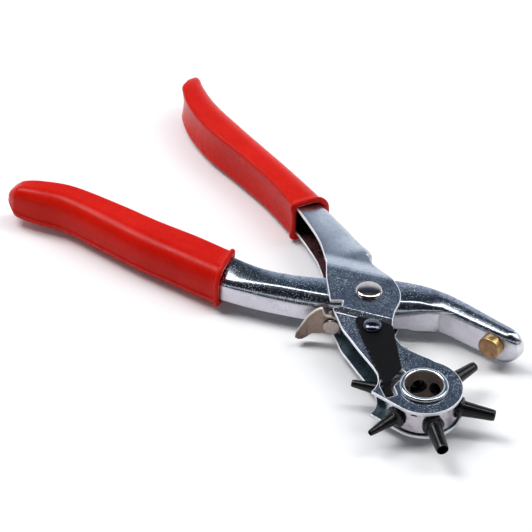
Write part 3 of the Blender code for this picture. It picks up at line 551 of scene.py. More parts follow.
def arc(center, radius, start, end, steps):
    return [polar(center, radius, degrees) for degrees in spread(start, end, steps)]


def corner_curve(before, corner, after, reach, steps):
    """Rounds a corner: points from reach before it to reach after it."""
    start = corner + before.normalized() * reach
    end = corner + after.normalized() * reach
    return [start * (1 - t) ** 2 + corner * 2 * t * (1 - t) + end * t**2 for t in spread(0, 1, steps)]


def rounded(points, radius, steps=6):
    """Closed plan outline with its corners rounded; radius may be one number or one per corner."""
    points = [Vector((p[0], p[1], 0)) for p in points]
    radii = radius if isinstance(radius, (list, tuple)) else [radius] * len(points)
    outline = []
    for i, corner in enumerate(points):
        before = points[i - 1] - corner
        after = points[(i + 1) % len(points)] - corner
        half = before.angle(after) / 2
        room = min(before.length, after.length) * CORNER_REACH
        reach = min(radii[i] / max(math.tan(half), 1e-3), room)
        if reach < SMALLEST_CORNER or half > math.radians(FLATTEST_CORNER):
            outline.append(corner)
        else:
            outline += corner_curve(before, corner, after, reach, steps)
    return outline


def prism(bm, outline, low, high):
    """Solid between two heights over a plan outline."""
    bottom = [bm.verts.new((p[0], p[1], low)) for p in outline]
    top = [bm.verts.new((p[0], p[1], high)) for p in outline]
    bm.faces.new(top)
    bm.faces.new(list(reversed(bottom)))
    for i in range(len(outline)):
        j = (i + 1) % len(outline)
        bm.faces.new((bottom[i], bottom[j], top[j], top[i]))


def turned(bm, profile, place, segments, closed=False):
    """Turns a (radius, height) profile about the Z axis of place."""
    rings = []
    for radius, height in profile:
        if radius == 0:
            rings.append([bm.verts.new(place @ Vector((0, 0, height)))])
            continue
        ring = []
        for k in range(segments):
            angle = 2 * math.pi * k / segments
            point = Vector((radius * math.cos(angle), radius * math.sin(angle), height))
            ring.append(bm.verts.new(place @ point))
        rings.append(ring)
    pairs = list(zip(rings, rings[1:]))
    if closed:
        pairs.append((rings[-1], rings[0]))
    for low, high in pairs:
        for k in range(segments):
            n = (k + 1) % segments
            if len(low) == 1:
                bm.faces.new((low[0], high[n], high[k]))
            elif len(high) == 1:
                bm.faces.new((low[k], low[n], high[0]))
            else:
                bm.faces.new((low[k], low[n], high[n], high[k]))


def along(point, direction):
    """Placement at a point with the Z axis along a direction."""
    return Matrix.Translation(Vector(point)) @ Vector(direction).to_track_quat("Z", "Y").to_matrix().to_4x4()


def chamfered(profile, size, steps=3):
    """Open (radius, height) profile with its inner corners rounded."""
    points = [Vector((p[0], p[1], 0)) for p in profile]
    result = [points[0]]
    for i in range(1, len(points) - 1):
        before = points[i - 1] - points[i]
        after = points[i + 1] - points[i]
        reach = min(size, min(before.length, after.length) * CORNER_REACH)
        result += corner_curve(before, points[i], after, reach, steps)
    result.append(points[-1])
    return [(0 if p.x < 1e-6 else p.x, p.y) for p in result]


def stations(rows, side):
    """Smooth list of (web point, depth vector to the open edge, unit inward normal) along a lever."""
    webs = smooth_curve([r[:2] for r in rows], STATION_STEPS)
    edges = smooth_curve([r[2:] for r in rows], STATION_STEPS)
    result = []
    for i, (web, edge) in enumerate(zip(webs, edges)):
        run = (webs[min(i + 1, len(webs) - 1)] - webs[max(i - 1, 0)]).normalized()
        result.append((web, edge - web, Vector((-run.y, run.x, 0)) * side))
    return result[HIDDEN_ROWS:]


def channel_row(base, outward, half_height, inward, depth, radius=BEND_RADIUS, crown=0.0, crease=0.0,
                fall=0.0, shoulder=SHOULDER):
    """Mid-sheet points from the middle of the web, round the bend, to the open edge of the flange.

    crown is the flange's slope in degrees where it leaves the bend, and shoulder the share of the
    flange over which it flattens out and the power of that curve.
    crease is the angle in degrees that the sheet turns at once between the bend and the flange.
    fall is how far the open edge dips.
    """
    width, power = shoulder
    bend = radius - SHEET / 2
    level = half_height - SHEET / 2
    sweep = math.radians(90 - crown - crease)
    start = inward * (radius - bend * math.cos(sweep))
    rise = (depth - start).length * width * math.tan(math.radians(crown)) / power
    center = base + inward * radius + outward * (level - rise - bend * math.sin(sweep))
    row = [base + inward * SHEET / 2]
    for k in range(BEND_STEPS + 1):
        angle = sweep * k / BEND_STEPS
        row.append(center - inward * bend * math.cos(angle) + outward * bend * math.sin(angle))
    for share in FLANGE_SHARES:
        height = level - rise * max(1 - share / width, 0.0) ** power - fall * share**2
        row.append(base + start.lerp(depth, share) + outward * height)
    return row


def add_strip(bm, rows):
    """Sheet through a list of rows; where two rows share a point, a triangle."""
    verts = [[bm.verts.new(p) for p in row] for row in rows]
    for low, high in zip(verts, verts[1:]):
        for i in range(len(low) - 1):
            corners = (low[i], low[i + 1], high[i + 1], high[i])
            if (corners[0].co - corners[3].co).length > 1e-6:
                bm.faces.new(corners)
            else:
                bm.faces.new(corners[:3])


def slice_at(bm, point, normal):
    """Adds edges where a plane crosses the mesh."""
    everything = bm.verts[:] + bm.edges[:] + bm.faces[:]
    bmesh.ops.bisect_plane(bm, geom=everything, plane_co=point, plane_no=normal)


def raise_sheet(bm, height):
    """Extrudes the faces of a leaf into a plate."""
    raised = bmesh.ops.extrude_face_region(bm, geom=bm.faces[:], use_keep_orig=True)
    tops = [item for item in raised["geom"] if isinstance(item, bmesh.types.BMVert)]
    bmesh.ops.translate(bm, vec=(0, 0, height), verts=tops)


def add_object(name, data):
    obj = bpy.data.objects.new(name, data)
    bpy.context.scene.collection.objects.link(obj)
    return obj


def make_piece(name, bm, body, slot, nodes, materials, sharp=SHARP_ANGLE):
    """Turns a millimetre bmesh into a piece in the row frame that rides on a body."""
    bmesh.ops.recalc_face_normals(bm, faces=bm.faces)
    bmesh.ops.scale(bm, vec=(MM, MM, MM), verts=bm.verts)
    bmesh.ops.translate(bm, vec=(0, 0, MIDDLE * MM), verts=bm.verts)
    mesh = bpy.data.meshes.new(name)
    bm.to_mesh(mesh)
    bm.free()
    mesh.shade_smooth()
    mesh.set_sharp_from_angle(angle=math.radians(sharp))
    obj = add_object(name, mesh)
    for mat in materials:
        mesh.materials.append(mat)
    if body:
        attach(obj, body)
        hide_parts(*nodes)
    return obj


def turned_piece(
    name, profile, place, segments, body, slot, node, materials, closed=False, sharp=TURNED_SHARP_ANGLE
):
    bm = bmesh.new()
    turned(bm, profile, place, segments, closed)
    return make_piece(name, bm, body, slot, [node], materials, sharp)


def modify(obj, kind, **settings):
    mod = obj.modifiers.new(kind.lower(), kind)
    for setting, value in settings.items():
        setattr(mod, setting, value)


# Bevels take edge_material where one is given: on the levers the painted edge highlight, on the latch its
# painted rim highlight.
def bevel(obj, width, segments=2, edge_material=-1):
    modify(
        obj, "BEVEL", width=width * MM, segments=segments, material=edge_material,
        limit_method="ANGLE", angle_limit=math.radians(SHARP_ANGLE), use_clamp_overlap=False,
    )
    modify(obj, "WEIGHTED_NORMAL")


def apply_modifiers(obj):
    bpy.context.view_layer.update()
    graph = bpy.context.evaluated_depsgraph_get()
    mesh = bpy.data.meshes.new_from_object(obj.evaluated_get(graph))
    obj.modifiers.clear()
    obj.data = mesh


def cut(obj, bm):
    """Cuts the millimetre bmesh out of obj and removes the cutter."""
    tool = make_piece(obj.name + "_cutter", bm, None, None, (), obj.data.materials)
    # The cut walls take the piece's second material: on the levers the painted edge highlight, on the hub the
    # painted bore shade, on the latch the painted rim highlight.
    for face in tool.data.polygons:
        face.material_index = min(1, len(obj.data.materials) - 1)
    modify(obj, "BOOLEAN", operation="DIFFERENCE", object=tool, solver="EXACT")
    apply_modifiers(obj)
    bpy.data.objects.remove(tool, do_unlink=True)


def drill(obj, places, radius, low, high, segments=32):
    """Cuts round holes about the Z axes of the places, between two heights on those axes."""
    bm = bmesh.new()
    for place in places:
        turned(bm, ((0, low), (radius, low), (radius, high), (0, high)), place, segments)
    cut(obj, bm)


def thicken(obj):
    """Gives a mid-sheet surface the sheet's thickness."""
    # The sheet's rims take EDGE, the painted edge highlight.
    modify(obj, "SOLIDIFY", thickness=SHEET * MM, offset=0.0, use_even_offset=True, material_offset_rim=EDGE)
    apply_modifiers(obj)


# ---------- levers


def latch_normal():
    return polar((0, 0), 1, LATCH_ANGLE - 90)


def pad_place():
    return along(ANVIL_FACE, polar((0, 0), 1, ANVIL_ANGLE))


def anvil_row(web, outward, inward, depth, *bend):
    """A row that starts at the web's middle line, with the fold line of the jaw's kink pressed in."""
    row = channel_row(web, outward, ANVIL_HALF_HEIGHT, inward, depth, *bend)
    row[0] = web + inward * SHEET / 2 - UP * WEB_LINE
    press = CREASE_DEPTH * max(1 - abs(web.x - CREASE_X) / CREASE_HALF_WIDTH, 0.0)
    return [point + inward * press if i < CREASE_POINTS else point for i, point in enumerate(row)]


def anvil_upper_row(web, inward, depth):
    """Above the middle plane the bend is wide under the pivot plates and tight along the jaw."""
    handle = 1 - smoothstep(*HANDLE_RANGE, web.x)
    jaw = smoothstep(*JAW_RANGE, web.x)
    middle = smoothstep(*MIDDLE_START_RANGE, web.x) * (1 - smoothstep(*MIDDLE_END_RANGE, web.x))
    radius = BEND_RADIUS + HANDLE_BEND_EXTRA * (1 - smoothstep(*HANDLE_BEND_RANGE, web.x))
    radius += MIDDLE_BEND_EXTRA * middle + (JAW_BEND_RADIUS - BEND_RADIUS) * jaw
    crown = FLANGE_CROWN + (FULL_CROWN - FLANGE_CROWN) * (handle + jaw)
    fall = FLANGE_FALL * smoothstep(*FLANGE_FALL_RANGE, web.x)
    width = SHOULDER[0] - HANDLE_SHOULDER_LESS * handle - JAW_SHOULDER_LESS * jaw
    power = SHOULDER[1] - SHOULDER_POWER_LESS * (handle + jaw)
    return anvil_row(web, UP, inward, depth, radius, crown, MIDDLE_CREASE * middle, fall, (width, power))


def anvil_nose_row(web, inward, depth, share):
    """The flange swings round the end of the jaw: share 0 is its upper side, share 1 its lower side."""
    forward = Vector((inward.y, -inward.x, 0))
    upright = math.cos(math.pi * share)
    ahead = math.sin(math.pi * share)
    flange = inward * (depth.length + (NOSE_DEPTH - depth.length) * ahead)
    radius = JAW_BEND_RADIUS + (ANVIL_LOWER_BEND_RADIUS - JAW_BEND_RADIUS) * share
    radius += NOSE_BEND_EXTRA * ahead
    crown = FULL_CROWN * (1 - share)
    fall = FLANGE_FALL * max(upright, 0.0)
    outward = UP * upright + forward * ahead
    return anvil_row(web, outward, inward, flange, radius, crown, 0.0, fall, NOSE_SHOULDER)


def anvil_lever():
    runs = stations(ANVIL_STATIONS, 1)
    rows = [anvil_upper_row(web, inward, depth) for web, depth, inward in runs]
    web, depth, inward = runs[-1]
    rows += [anvil_nose_row(web, inward, depth, k / NOSE_STEPS) for k in range(1, NOSE_STEPS)]
    for web, depth, inward in reversed(runs):
        rows.append(anvil_row(web, -UP, inward, depth, ANVIL_LOWER_BEND_RADIUS))
    bm = bmesh.new()
    add_strip(bm, rows)
    bmesh.ops.remove_doubles(bm, verts=bm.verts, dist=1e-4)
    deepening = (JAW_DEPTH - SHEET / 2) / (ANVIL_HALF_HEIGHT - SHEET / 2) - 1
    for vert in bm.verts:
        if vert.co.z < 0:
            vert.co.z *= 1 + deepening * smoothstep(*JAW_DEPTH_RANGE, vert.co.x)
    obj = make_piece("anvil_lever_plate", bm, "anvil_side", "zinc_plate", ["anvil_lever"], SHEET_LOOKS)
    thicken(obj)
    drill(obj, [Matrix.Identity(4)], RIVET_RADIUS + GAP, -CUT_REACH, CUT_REACH, 64)
    drill(obj, [pad_place()], ANVIL_STEM_RADIUS + GAP, *ANVIL_STEM_HOLE)
    drill(obj, [along(LATCH_STUD, latch_normal())], LATCH_STUD_RADIUS + GAP, *LATCH_STUD_HOLE)
    mark_inside(obj, ANVIL_MOUTH)
    # The nose's faces towards the given side take the near-white zinc: a painted highlight.
    for face in obj.data.polygons:
        highlighted = face.center.x > NOSE_HIGHLIGHT_X * MM and face.normal.dot(NOSE_HIGHLIGHT_SIDE) > NOSE_HIGHLIGHT_FACING
        if highlighted and face.material_index in (FLAT, WEB):
            face.material_index = NOSE
    bevel(obj, EDGE_BEVEL, edge_material=EDGE)


def mark_inside(obj, mouth):
    """Paints shade on the faces that look into the channel with a darker zinc, and the floor's reflection on
    the web's upright outer faces with a lighter one.
    """
    for face in obj.data.polygons:
        height = face.center.z - MIDDLE * MM
        facing_middle = face.normal.z * height < 0 and abs(face.normal.z) > LEVEL_FACING
        facing_mouth = abs(face.normal.z) <= WEB_FACING and face.normal.dot(mouth) > MOUTH_FACING
        # Faces that look into the channel: the dark zinc, painted shade.
        if face.material_index == FLAT and (facing_middle or facing_mouth):
            face.material_index = INSIDE
        # Upright outer faces: the lighter zinc, a painted reflection of the pale floor.
        elif face.material_index == FLAT and abs(face.normal.z) < WEB_FACING:
            face.material_index = WEB


def taper(point):
    """Share of the plate's height left at a point; the handle runs flatter beyond the fold."""
    flattest = (HEAD_TAIL_HALF_HEIGHT - SHEET / 2) / (HEAD_HALF_HEIGHT - SHEET / 2)
    return 1 + smoothstep(*FOLD, point.dot(FOLD_NORMAL)) * (flattest - 1)


def joggle(beyond):
    """Drop of the cheek at a distance beyond the joggle line: a straight ramp with eased ends."""
    width = JOGGLE_END - JOGGLE_START
    shares = [(beyond + ease - JOGGLE_START) / width for ease in (-JOGGLE_EASE, JOGGLE_EASE)]
    return JOGGLE_DROP * sum(min(max(share, 0.0), 1.0) for share in shares) / 2


def head_outline():
    """Plan outline of a pivot plate and its cheek, from the far shoulder round to the latch notch."""
    shoulder = smooth_curve(PLATE_SHOULDER + PLATE_WAIST, PLATE_STEPS)
    end = arc(TURRET, CHEEK_END_RADIUS, *CHEEK_ARC, CHEEK_ARC_STEPS)
    corner = smooth_curve(CHEEK_CORNER, CHEEK_STEPS)
    edge = smooth_curve(CHEEK_EDGE, CHEEK_STEPS)
    return shoulder + end + corner + edge + [Vector((*p, 0)) for p in LATCH_NOTCH]


def head_row(web, outward, inward, depth):
    crown = HANDLE_CROWN * (1 - smoothstep(*HANDLE_CROWN_RANGE, web.x))
    radius = BEND_RADIUS - HEAD_END_BEND_LESS * smoothstep(*HEAD_END_RANGE, web.x)
    return channel_row(web, outward, HEAD_HALF_HEIGHT, inward, depth, radius, crown, shoulder=HANDLE_SHOULDER)


def head_lever():
    runs = stations(HEAD_STATIONS, -1)
    bm = bmesh.new()
    for up in (UP, -UP):
        rows = [head_row(web, up, inward, depth) for web, depth, inward in runs]
        add_strip(bm, rows)
        level = up * (HEAD_HALF_HEIGHT - SHEET / 2)
        join = rows[-1][PLATE_INDEX:]
        plate = [join[0]] + [p + level for p in head_outline()] + list(reversed(join[1:]))
        bm.faces.new([bm.verts.new(p) for p in plate])
    bmesh.ops.remove_doubles(bm, verts=bm.verts, dist=1e-4)
    for place in spread(*FOLD, FOLD_STEPS):
        slice_at(bm, FOLD_NORMAL * place, FOLD_NORMAL)
    for turn in (JOGGLE_START, JOGGLE_END):
        for ease in (-JOGGLE_EASE, JOGGLE_EASE):
            slice_at(bm, JOGGLE_POINT + JOGGLE_NORMAL * (turn + ease), JOGGLE_NORMAL)
    for vert in bm.verts:
        vert.co.z *= taper(vert.co)
        drop = joggle((vert.co - JOGGLE_POINT).dot(JOGGLE_NORMAL))
        vert.co.z -= math.copysign(drop, vert.co.z)
    obj = make_piece("head_lever_plate", bm, "head_side", "zinc_plate", ["head_lever"], SHEET_LOOKS)
    thicken(obj)
    drill(obj, [Matrix.Identity(4)], RIVET_RADIUS + GAP, -CUT_REACH, CUT_REACH, 64)
    drill(obj, [Matrix.Translation(TURRET)], HUB_RADIUS + GAP, -CUT_REACH, CUT_REACH, 96)
    drill(obj, [Matrix.Translation(LEAF_RIVET)], LEAF_RIVET_RADIUS + GAP, UPPER_CUT, CUT_REACH)
    window = bmesh.new()
    prism(window, rounded(LEAF_WINDOW_TIP + LEAF_WINDOW_ROOT, LEAF_WINDOW_CORNER), UPPER_CUT, CUT_REACH)
    cut(obj, window)
    mark_inside(obj, HEAD_MOUTH)
    for face in obj.data.polygons:
        # Inside faces of the handle: the maroon zinc, a painted reflection of the red grip with painted
        # shade.
        if face.material_index == INSIDE and face.center.x < HANDLE_INSIDE_X * MM:
            face.material_index = HANDLE_INSIDE
        # Web faces near the pivot go back to plain zinc, without the painted floor reflection.
        elif face.material_index == WEB and face.center.x > WEB_END_X * MM:
            face.material_index = FLAT
        # Plain faces of the handle beyond the fold: the lighter zinc, a painted sheen.
        elif face.material_index == FLAT and face.center.dot(FOLD_NORMAL) > HANDLE_LOOK_START * MM:
            face.material_index = HANDLE
    bevel(obj, EDGE_BEVEL, edge_material=EDGE)


def dome(radius, base, slopes):
    """Points from the rim to the crown of a head whose slope in degrees is given at shares of its radius."""
    points = []
    height = base
    outer = radius
    for k in range(1, DOME_STEPS + 1):
        inner = radius * (1 - k / DOME_STEPS)
        share = (inner + outer) / 2 / radius
        for (low, gentle), (high, steep) in zip(slopes, slopes[1:]):
            if low <= share <= high:
                slope = gentle + (steep - gentle) * (share - low) / (high - low)
        height += (outer - inner) * math.tan(math.radians(slope))
        outer = inner
        points.append((inner if k < DOME_STEPS else 0, height))
    return points


def main_rivet():
    seat = HEAD_HALF_HEIGHT + GAP
    top = seat + RIVET_HEAD_HEIGHT
    profile = [
        (0, -top), (RIVET_FOOT_RADIUS, -top), (RIVET_HEAD_RADIUS - 0.5, -top + 0.6),
        (RIVET_HEAD_RADIUS, -seat - 0.4), (RIVET_HEAD_RADIUS, -seat), (RIVET_RADIUS, -seat),
        (RIVET_RADIUS, seat), (RIVET_HEAD_RADIUS - 0.1, seat),
        (RIVET_HEAD_RADIUS, seat + RIVET_HEAD_SIDE),
        *dome(RIVET_HEAD_RADIUS, seat + RIVET_HEAD_SIDE, RIVET_DOME),
    ]
    place = Matrix.Identity(4)
    looks = [RIVET_NICKEL]
    turned_piece("main_rivet_domed", profile, place, 72, "anvil_side", "polished_nickel", "main_rivet", looks)


# ---------- turret


def punch_direction(number, turn=0):
    """Plan direction of a punch, or of the place so many degrees on from it."""
    return polar((0, 0), 1, ACTIVE_PUNCH_ANGLE + turn - 60 * number)


def turret_drum():
    inside = DRUM_RADIUS - DRUM_WALL
    ceiling = DRUM_HALF_HEIGHT - DRUM_WALL
    profile = [
        (DRUM_BORE, -DRUM_HALF_HEIGHT),
        *((DRUM_RADIUS - back, -DRUM_HALF_HEIGHT + up) for back, up in DRUM_RIM),
        *((DRUM_RADIUS - back, DRUM_HALF_HEIGHT - down) for back, down in reversed(DRUM_RIM)),
        (DRUM_BORE, DRUM_HALF_HEIGHT), (DRUM_BORE, ceiling), (inside, ceiling), (inside, -ceiling),
        (DRUM_BORE, -ceiling),
    ]
    place = Matrix.Translation(TURRET)
    names = ("turret", "drum_steel", "turret_drum")
    obj = turned_piece("turret_drum_wheel", profile, place, 144, *names, [DRUM_STEEL], True, SHARP_ANGLE)
    stems = [along(TURRET, punch_direction(k)) for k in range(len(PUNCH_SIZES))]
    drill(obj, stems, PUNCH_STEM_RADIUS + GAP, *PUNCH_STEM_HOLE, 40)
    notches = bmesh.new()
    for k in range(len(PUNCH_SIZES)):
        direction = punch_direction(k, 30)
        across = Vector((-direction.y, direction.x, 0)) * NOTCH_HALF_WIDTH
        near = TURRET + direction * (DRUM_RADIUS - NOTCH_REACH)
        far = TURRET + direction * (DRUM_RADIUS + 1)
        corners = [near - across, far - across, far + across, near + across]
        prism(notches, corners, DRUM_HALF_HEIGHT - NOTCH_DEPTH, DRUM_HALF_HEIGHT + 1)
    cut(obj, notches)
    bevel(obj, DRUM_BEVEL)


def turret_hub():
    """Tubular rivet through both cheeks: ends rolled into lips, a slug window behind each punch."""
    seat = HEAD_HALF_HEIGHT - JOGGLE_DROP + GAP
    top = seat + HUB_LIP_HEIGHT
    upper = [
        (HUB_RADIUS, seat - 1.0), (HUB_RADIUS, seat), (HUB_LIP_RADIUS - 0.1, seat),
        (HUB_LIP_RADIUS, seat + 0.25),
    ]
    middle = (HUB_LIP_RADIUS + HUB_BORE) / 2 - 0.1
    reach = (HUB_LIP_RADIUS - HUB_BORE) / 2 + 0.05
    for degrees in spread(*HUB_ROLL, HUB_ROLL_STEPS):
        angle = math.radians(degrees)
        upper.append((middle + reach * math.cos(angle), seat + 0.35 + (top - seat - 0.35) * math.sin(angle)))
    upper += [(HUB_BORE + 0.05, top - 1.1), (HUB_BORE, top - 1.8)]
    profile = upper + [(r, -h) for r, h in reversed(upper)]
    names = ("head_side", "polished_nickel", "turret_hub")
    looks = [NICKEL, HUB_BORE_SHADE]
    obj = turned_piece("turret_hub_tube", profile, Matrix.Translation(TURRET), 96, *names, looks, True)
    axis = TURRET * MM
    # The bore's faces take the darker colour: painted shade.
    for face in obj.data.polygons:
        if math.hypot(face.center.x - axis.x, face.center.y - axis.y) < (HUB_BORE + 0.25) * MM:
            face.material_index = 1
    for first in (0, 1):
        windows = [along(TURRET, punch_direction(k)) for k in range(first, len(PUNCH_SIZES), 2)]
        drill(obj, windows, HUB_WINDOW_RADIUS, *HUB_WINDOW_REACH, 40)
    bevel(obj, DRUM_BEVEL)


def punch_tube(number, size):
    """Hollow punch: stem in the drum's wall, collar, and a nose that tapers to the cutting edge."""
    node = "punch_tube_" + str(size).replace(".", "_") + "_mm"
    bore = size / 2
    tip = bore + PUNCH_RIM
    collar = DRUM_RADIUS + GAP
    neck = PUNCH_NECK_RADIUS + PUNCH_NECK_SHARE * tip
    outer = [
        (PUNCH_STEM_RADIUS, PUNCH_ROOT_RADIUS), (PUNCH_STEM_RADIUS, collar),
        (PUNCH_COLLAR_RADIUS, collar), (PUNCH_COLLAR_RADIUS, collar + 1.1), (neck + 0.1, collar + 1.7),
        (neck, collar + 2.6), ((tip + neck) / 2, collar + 8.0), (tip + 0.1, PUNCH_TIP_RADIUS - 1.0),
        (tip - 0.1, PUNCH_TIP_RADIUS),
    ]
    profile = [
        (bore, PUNCH_ROOT_RADIUS), *chamfered(outer, 0.35)[:-1], (tip - 0.12, PUNCH_TIP_RADIUS),
        (bore + 0.03, PUNCH_TIP_RADIUS), (bore, PUNCH_TIP_RADIUS - 0.25),
    ]
    place = along(TURRET, punch_direction(number))
    turned_piece(node + "_turned", profile, place, 56, "turret", "black_oxide", node, [BLACK_OXIDE], True)


def anvil_pad():
    back = -ANVIL_HEIGHT
    inside = back - GAP - SHEET - GAP
    profile = [
        (0, inside - 1.2), (2.2, inside - 1.2), (3.1, inside - 0.7), (3.1, inside),
        (ANVIL_STEM_RADIUS, inside), (ANVIL_STEM_RADIUS, back), (ANVIL_RADIUS, back),
        (ANVIL_RADIUS, -0.5), (ANVIL_RADIUS - 0.15, -0.15), (ANVIL_RADIUS - 0.5, 0), (2.5, 0), (0, 0),
    ]
    names = ("anvil_side", "brass", "anvil_pad")
    looks = [BRASS, BRASS_FACE]
    obj = turned_piece("anvil_pad_turned", chamfered(profile, 0.18), pad_place(), 72, *names, looks)
    front = polar((0, 0), 1, ANVIL_ANGLE)
    for face in obj.data.polygons:
        if face.normal.dot(front) > ANVIL_FACE_FACING:
            face.material_index = 1


# ---------- small parts


def index_spring():
    """Flat leaf on the upper cheek; its tip dips through the cheek's window to the drum."""
    bm = bmesh.new()
    outline = rounded(LEAF_OUTLINE, [corner for x, y, corner in LEAF_OUTLINE])
    bm.faces.new([bm.verts.new((p.x, p.y, 0)) for p in outline])
    for place in spread(*LEAF_DIP_RANGE, LEAF_DIP_STEPS):
        slice_at(bm, LEAF_AXIS * place, LEAF_AXIS)
    underside = HEAD_HALF_HEIGHT - JOGGLE_DROP + GAP
    for vert in bm.verts:
        vert.co.z = underside - LEAF_DIP * smoothstep(*LEAF_DIP_RANGE, vert.co.dot(LEAF_AXIS))
    raise_sheet(bm, LEAF_THICKNESS)
    obj = make_piece("index_spring_leaf", bm, "index_leaf", "spring_steel", ["index_spring"], [SPRING_BLACK])
    drill(obj, [Matrix.Translation(LEAF_RIVET)], LEAF_RIVET_RADIUS + GAP + 0.1, UPPER_CUT, CUT_REACH)
    bevel(obj, LEAF_BEVEL)


def index_spring_rivet():
    outer = HEAD_HALF_HEIGHT - JOGGLE_DROP
    inner = outer - SHEET - GAP
    seat = outer + GAP + LEAF_THICKNESS + 0.4
    head = LEAF_RIVET_HEAD_RADIUS
    profile = [
        (0, inner - 0.9), (2.2, inner - 0.9), (2.9, inner - 0.3), (2.9, inner),
        (LEAF_RIVET_RADIUS, inner), (LEAF_RIVET_RADIUS, seat), (head - 0.1, seat), (head, seat + 0.3),
        *dome(head, seat + 0.3, LEAF_RIVET_DOME),
    ]
    names = ("head_side", "black_oxide", "index_spring_rivet")
    turned_piece("index_rivet_domed", profile, Matrix.Translation(LEAF_RIVET), 56, *names, [BLACK_NICKEL])


def latch_frame():
    """Placement of the latch: X along the web behind it, Y up, Z out of the lever's side."""
    run = polar((0, 0), 1, LATCH_ANGLE)
    place = Matrix((run, UP, latch_normal())).transposed().to_4x4()
    return Matrix.Translation(LATCH_STUD) @ place


def latch():
    """Flat catch: a round end on the stud, a tongue for the lever's notch and a curled thumb tab."""
    round_end = tuple((p.x, p.y) for p in arc((0, 0), LATCH_END_RADIUS, *LATCH_END_ARC))
    outline = rounded(round_end + LATCH_TONGUE + LATCH_TAB + LATCH_TAB_ROOT, LATCH_CORNER, 4)
    bm = bmesh.new()
    bm.faces.new([bm.verts.new((p.x, p.y, 0)) for p in outline])
    for k in range(LATCH_TAB_SLICES):
        slice_at(bm, Vector((LATCH_TAB_START - LATCH_SLICE * k, 0, 0)), Vector((1, 0, 0)))
    for vert in bm.verts:
        beyond = max(LATCH_TAB_START - vert.co.x, 0.0)
        vert.co.z = LATCH_TAB_CURL * (beyond / LATCH_TAB_REACH) ** 2
    raise_sheet(bm, -LATCH_THICKNESS)
    bmesh.ops.transform(bm, matrix=latch_frame(), verts=bm.verts)
    obj = make_piece("latch_plate", bm, "latch_catch", "latch_nickel", ["latch"], [LATCH_NICKEL, LATCH_RIM_HIGHLIGHT])
    drill(obj, [latch_frame()], LATCH_STUD_RADIUS + GAP, *LATCH_HOLE)
    # Faces across the latch's thickness take the light rim colour: a painted highlight.
    for face in obj.data.polygons:
        if abs(face.normal.dot(latch_normal())) < LATCH_RIM_FACING:
            face.material_index = 1
    bevel(obj, LATCH_BEVEL, 3, edge_material=1)


def latch_rivet():
    inside = -LATCH_THICKNESS - GAP - LATCH_SPACER_LENGTH - GAP - SHEET - 2 * GAP
    profile = [
        (0, inside - 1.0), (LATCH_TAIL_RADIUS, inside - 1.0), (LATCH_TAIL_RADIUS, inside),
        (LATCH_STUD_RADIUS, inside), (LATCH_STUD_RADIUS, GAP), (LATCH_HEAD_RADIUS, GAP),
        (LATCH_HEAD_RADIUS, GAP + 0.7), (LATCH_HEAD_RADIUS - 0.4, GAP + 1.0), (1.5, GAP + 1.05),
        (0, GAP + 1.05),
    ]
    names = ("anvil_side", "latch_nickel", "latch_rivet")
    turned_piece("latch_rivet_disc", chamfered(profile, 0.25), latch_frame(), 56, *names, [LATCH_HEAD])


# ---------- grips


def grip_ring(web_point, open_point, half_height, lower_corner, inset):
    """Rounded-rectangle section between the web side and the open side, shrunk by inset.

    The open side is slightly hollow, and a fine seam runs near each edge of the two upright sides.
    """
    across = (open_point - web_point).normalized()
    start = web_point + across * inset
    width = (open_point - web_point).length - 2 * inset
    height = half_height - inset
    ring = []
    corners = ((GRIP_WEB_CORNER, 1), (GRIP_OPEN_CORNER, 1), (GRIP_OPEN_CORNER, -1), (lower_corner, -1))
    for number, (corner, sign) in enumerate(corners):
        room = (width * GRIP_CORNER_ROOM[0], height * GRIP_CORNER_ROOM[1])
        radius = max(min(corner - inset, *room), GRIP_LEAST_CORNER)
        near_web = number in (0, 3)
        middle = radius if near_web else width - radius
        for degrees in spread(0, 90, CORNER_STEPS):
            quarter = math.radians(degrees if number in (0, 2) else 90 - degrees)
            swing = radius * math.cos(quarter)
            rise = radius * math.sin(quarter)
            along_width = middle - swing if near_web else middle + swing
            ring.append(start + across * along_width + Vector((0, 0, sign * (height - radius + rise))))
    filled = []
    for i, point in enumerate(ring):
        filled.append(point)
        after = ring[(i + 1) % len(ring)]
        side = i // (CORNER_STEPS + 1)
        if i % (CORNER_STEPS + 1) == CORNER_STEPS:
            outward = (Vector(), across, Vector(), -across)[side]
            for share in GRIP_SIDE_SHARES if side == 3 else [1 - s for s in reversed(GRIP_SIDE_SHARES)]:
                bulge = -GRIP_HOLLOW * math.sin(math.pi * share) if side == 1 and inset <= 0 else 0.0
                seam = GRIP_SEAM if min(share, 1 - share) == GRIP_SIDE_SHARES[1] and inset <= 0 else 0.0
                filled.append(point.lerp(after, share) + outward * (bulge + seam))
    return filled


def loft(bm, rings):
    """Closed skin through a list of rings."""
    verts = [[bm.verts.new(p) for p in ring] for ring in rings]
    count = len(verts[0])
    for low, high in zip(verts, verts[1:]):
        for i in range(count):
            j = (i + 1) % count
            bm.faces.new((low[i], low[j], high[j], high[i]))
    bm.faces.new(verts[0])
    bm.faces.new(verts[-1])


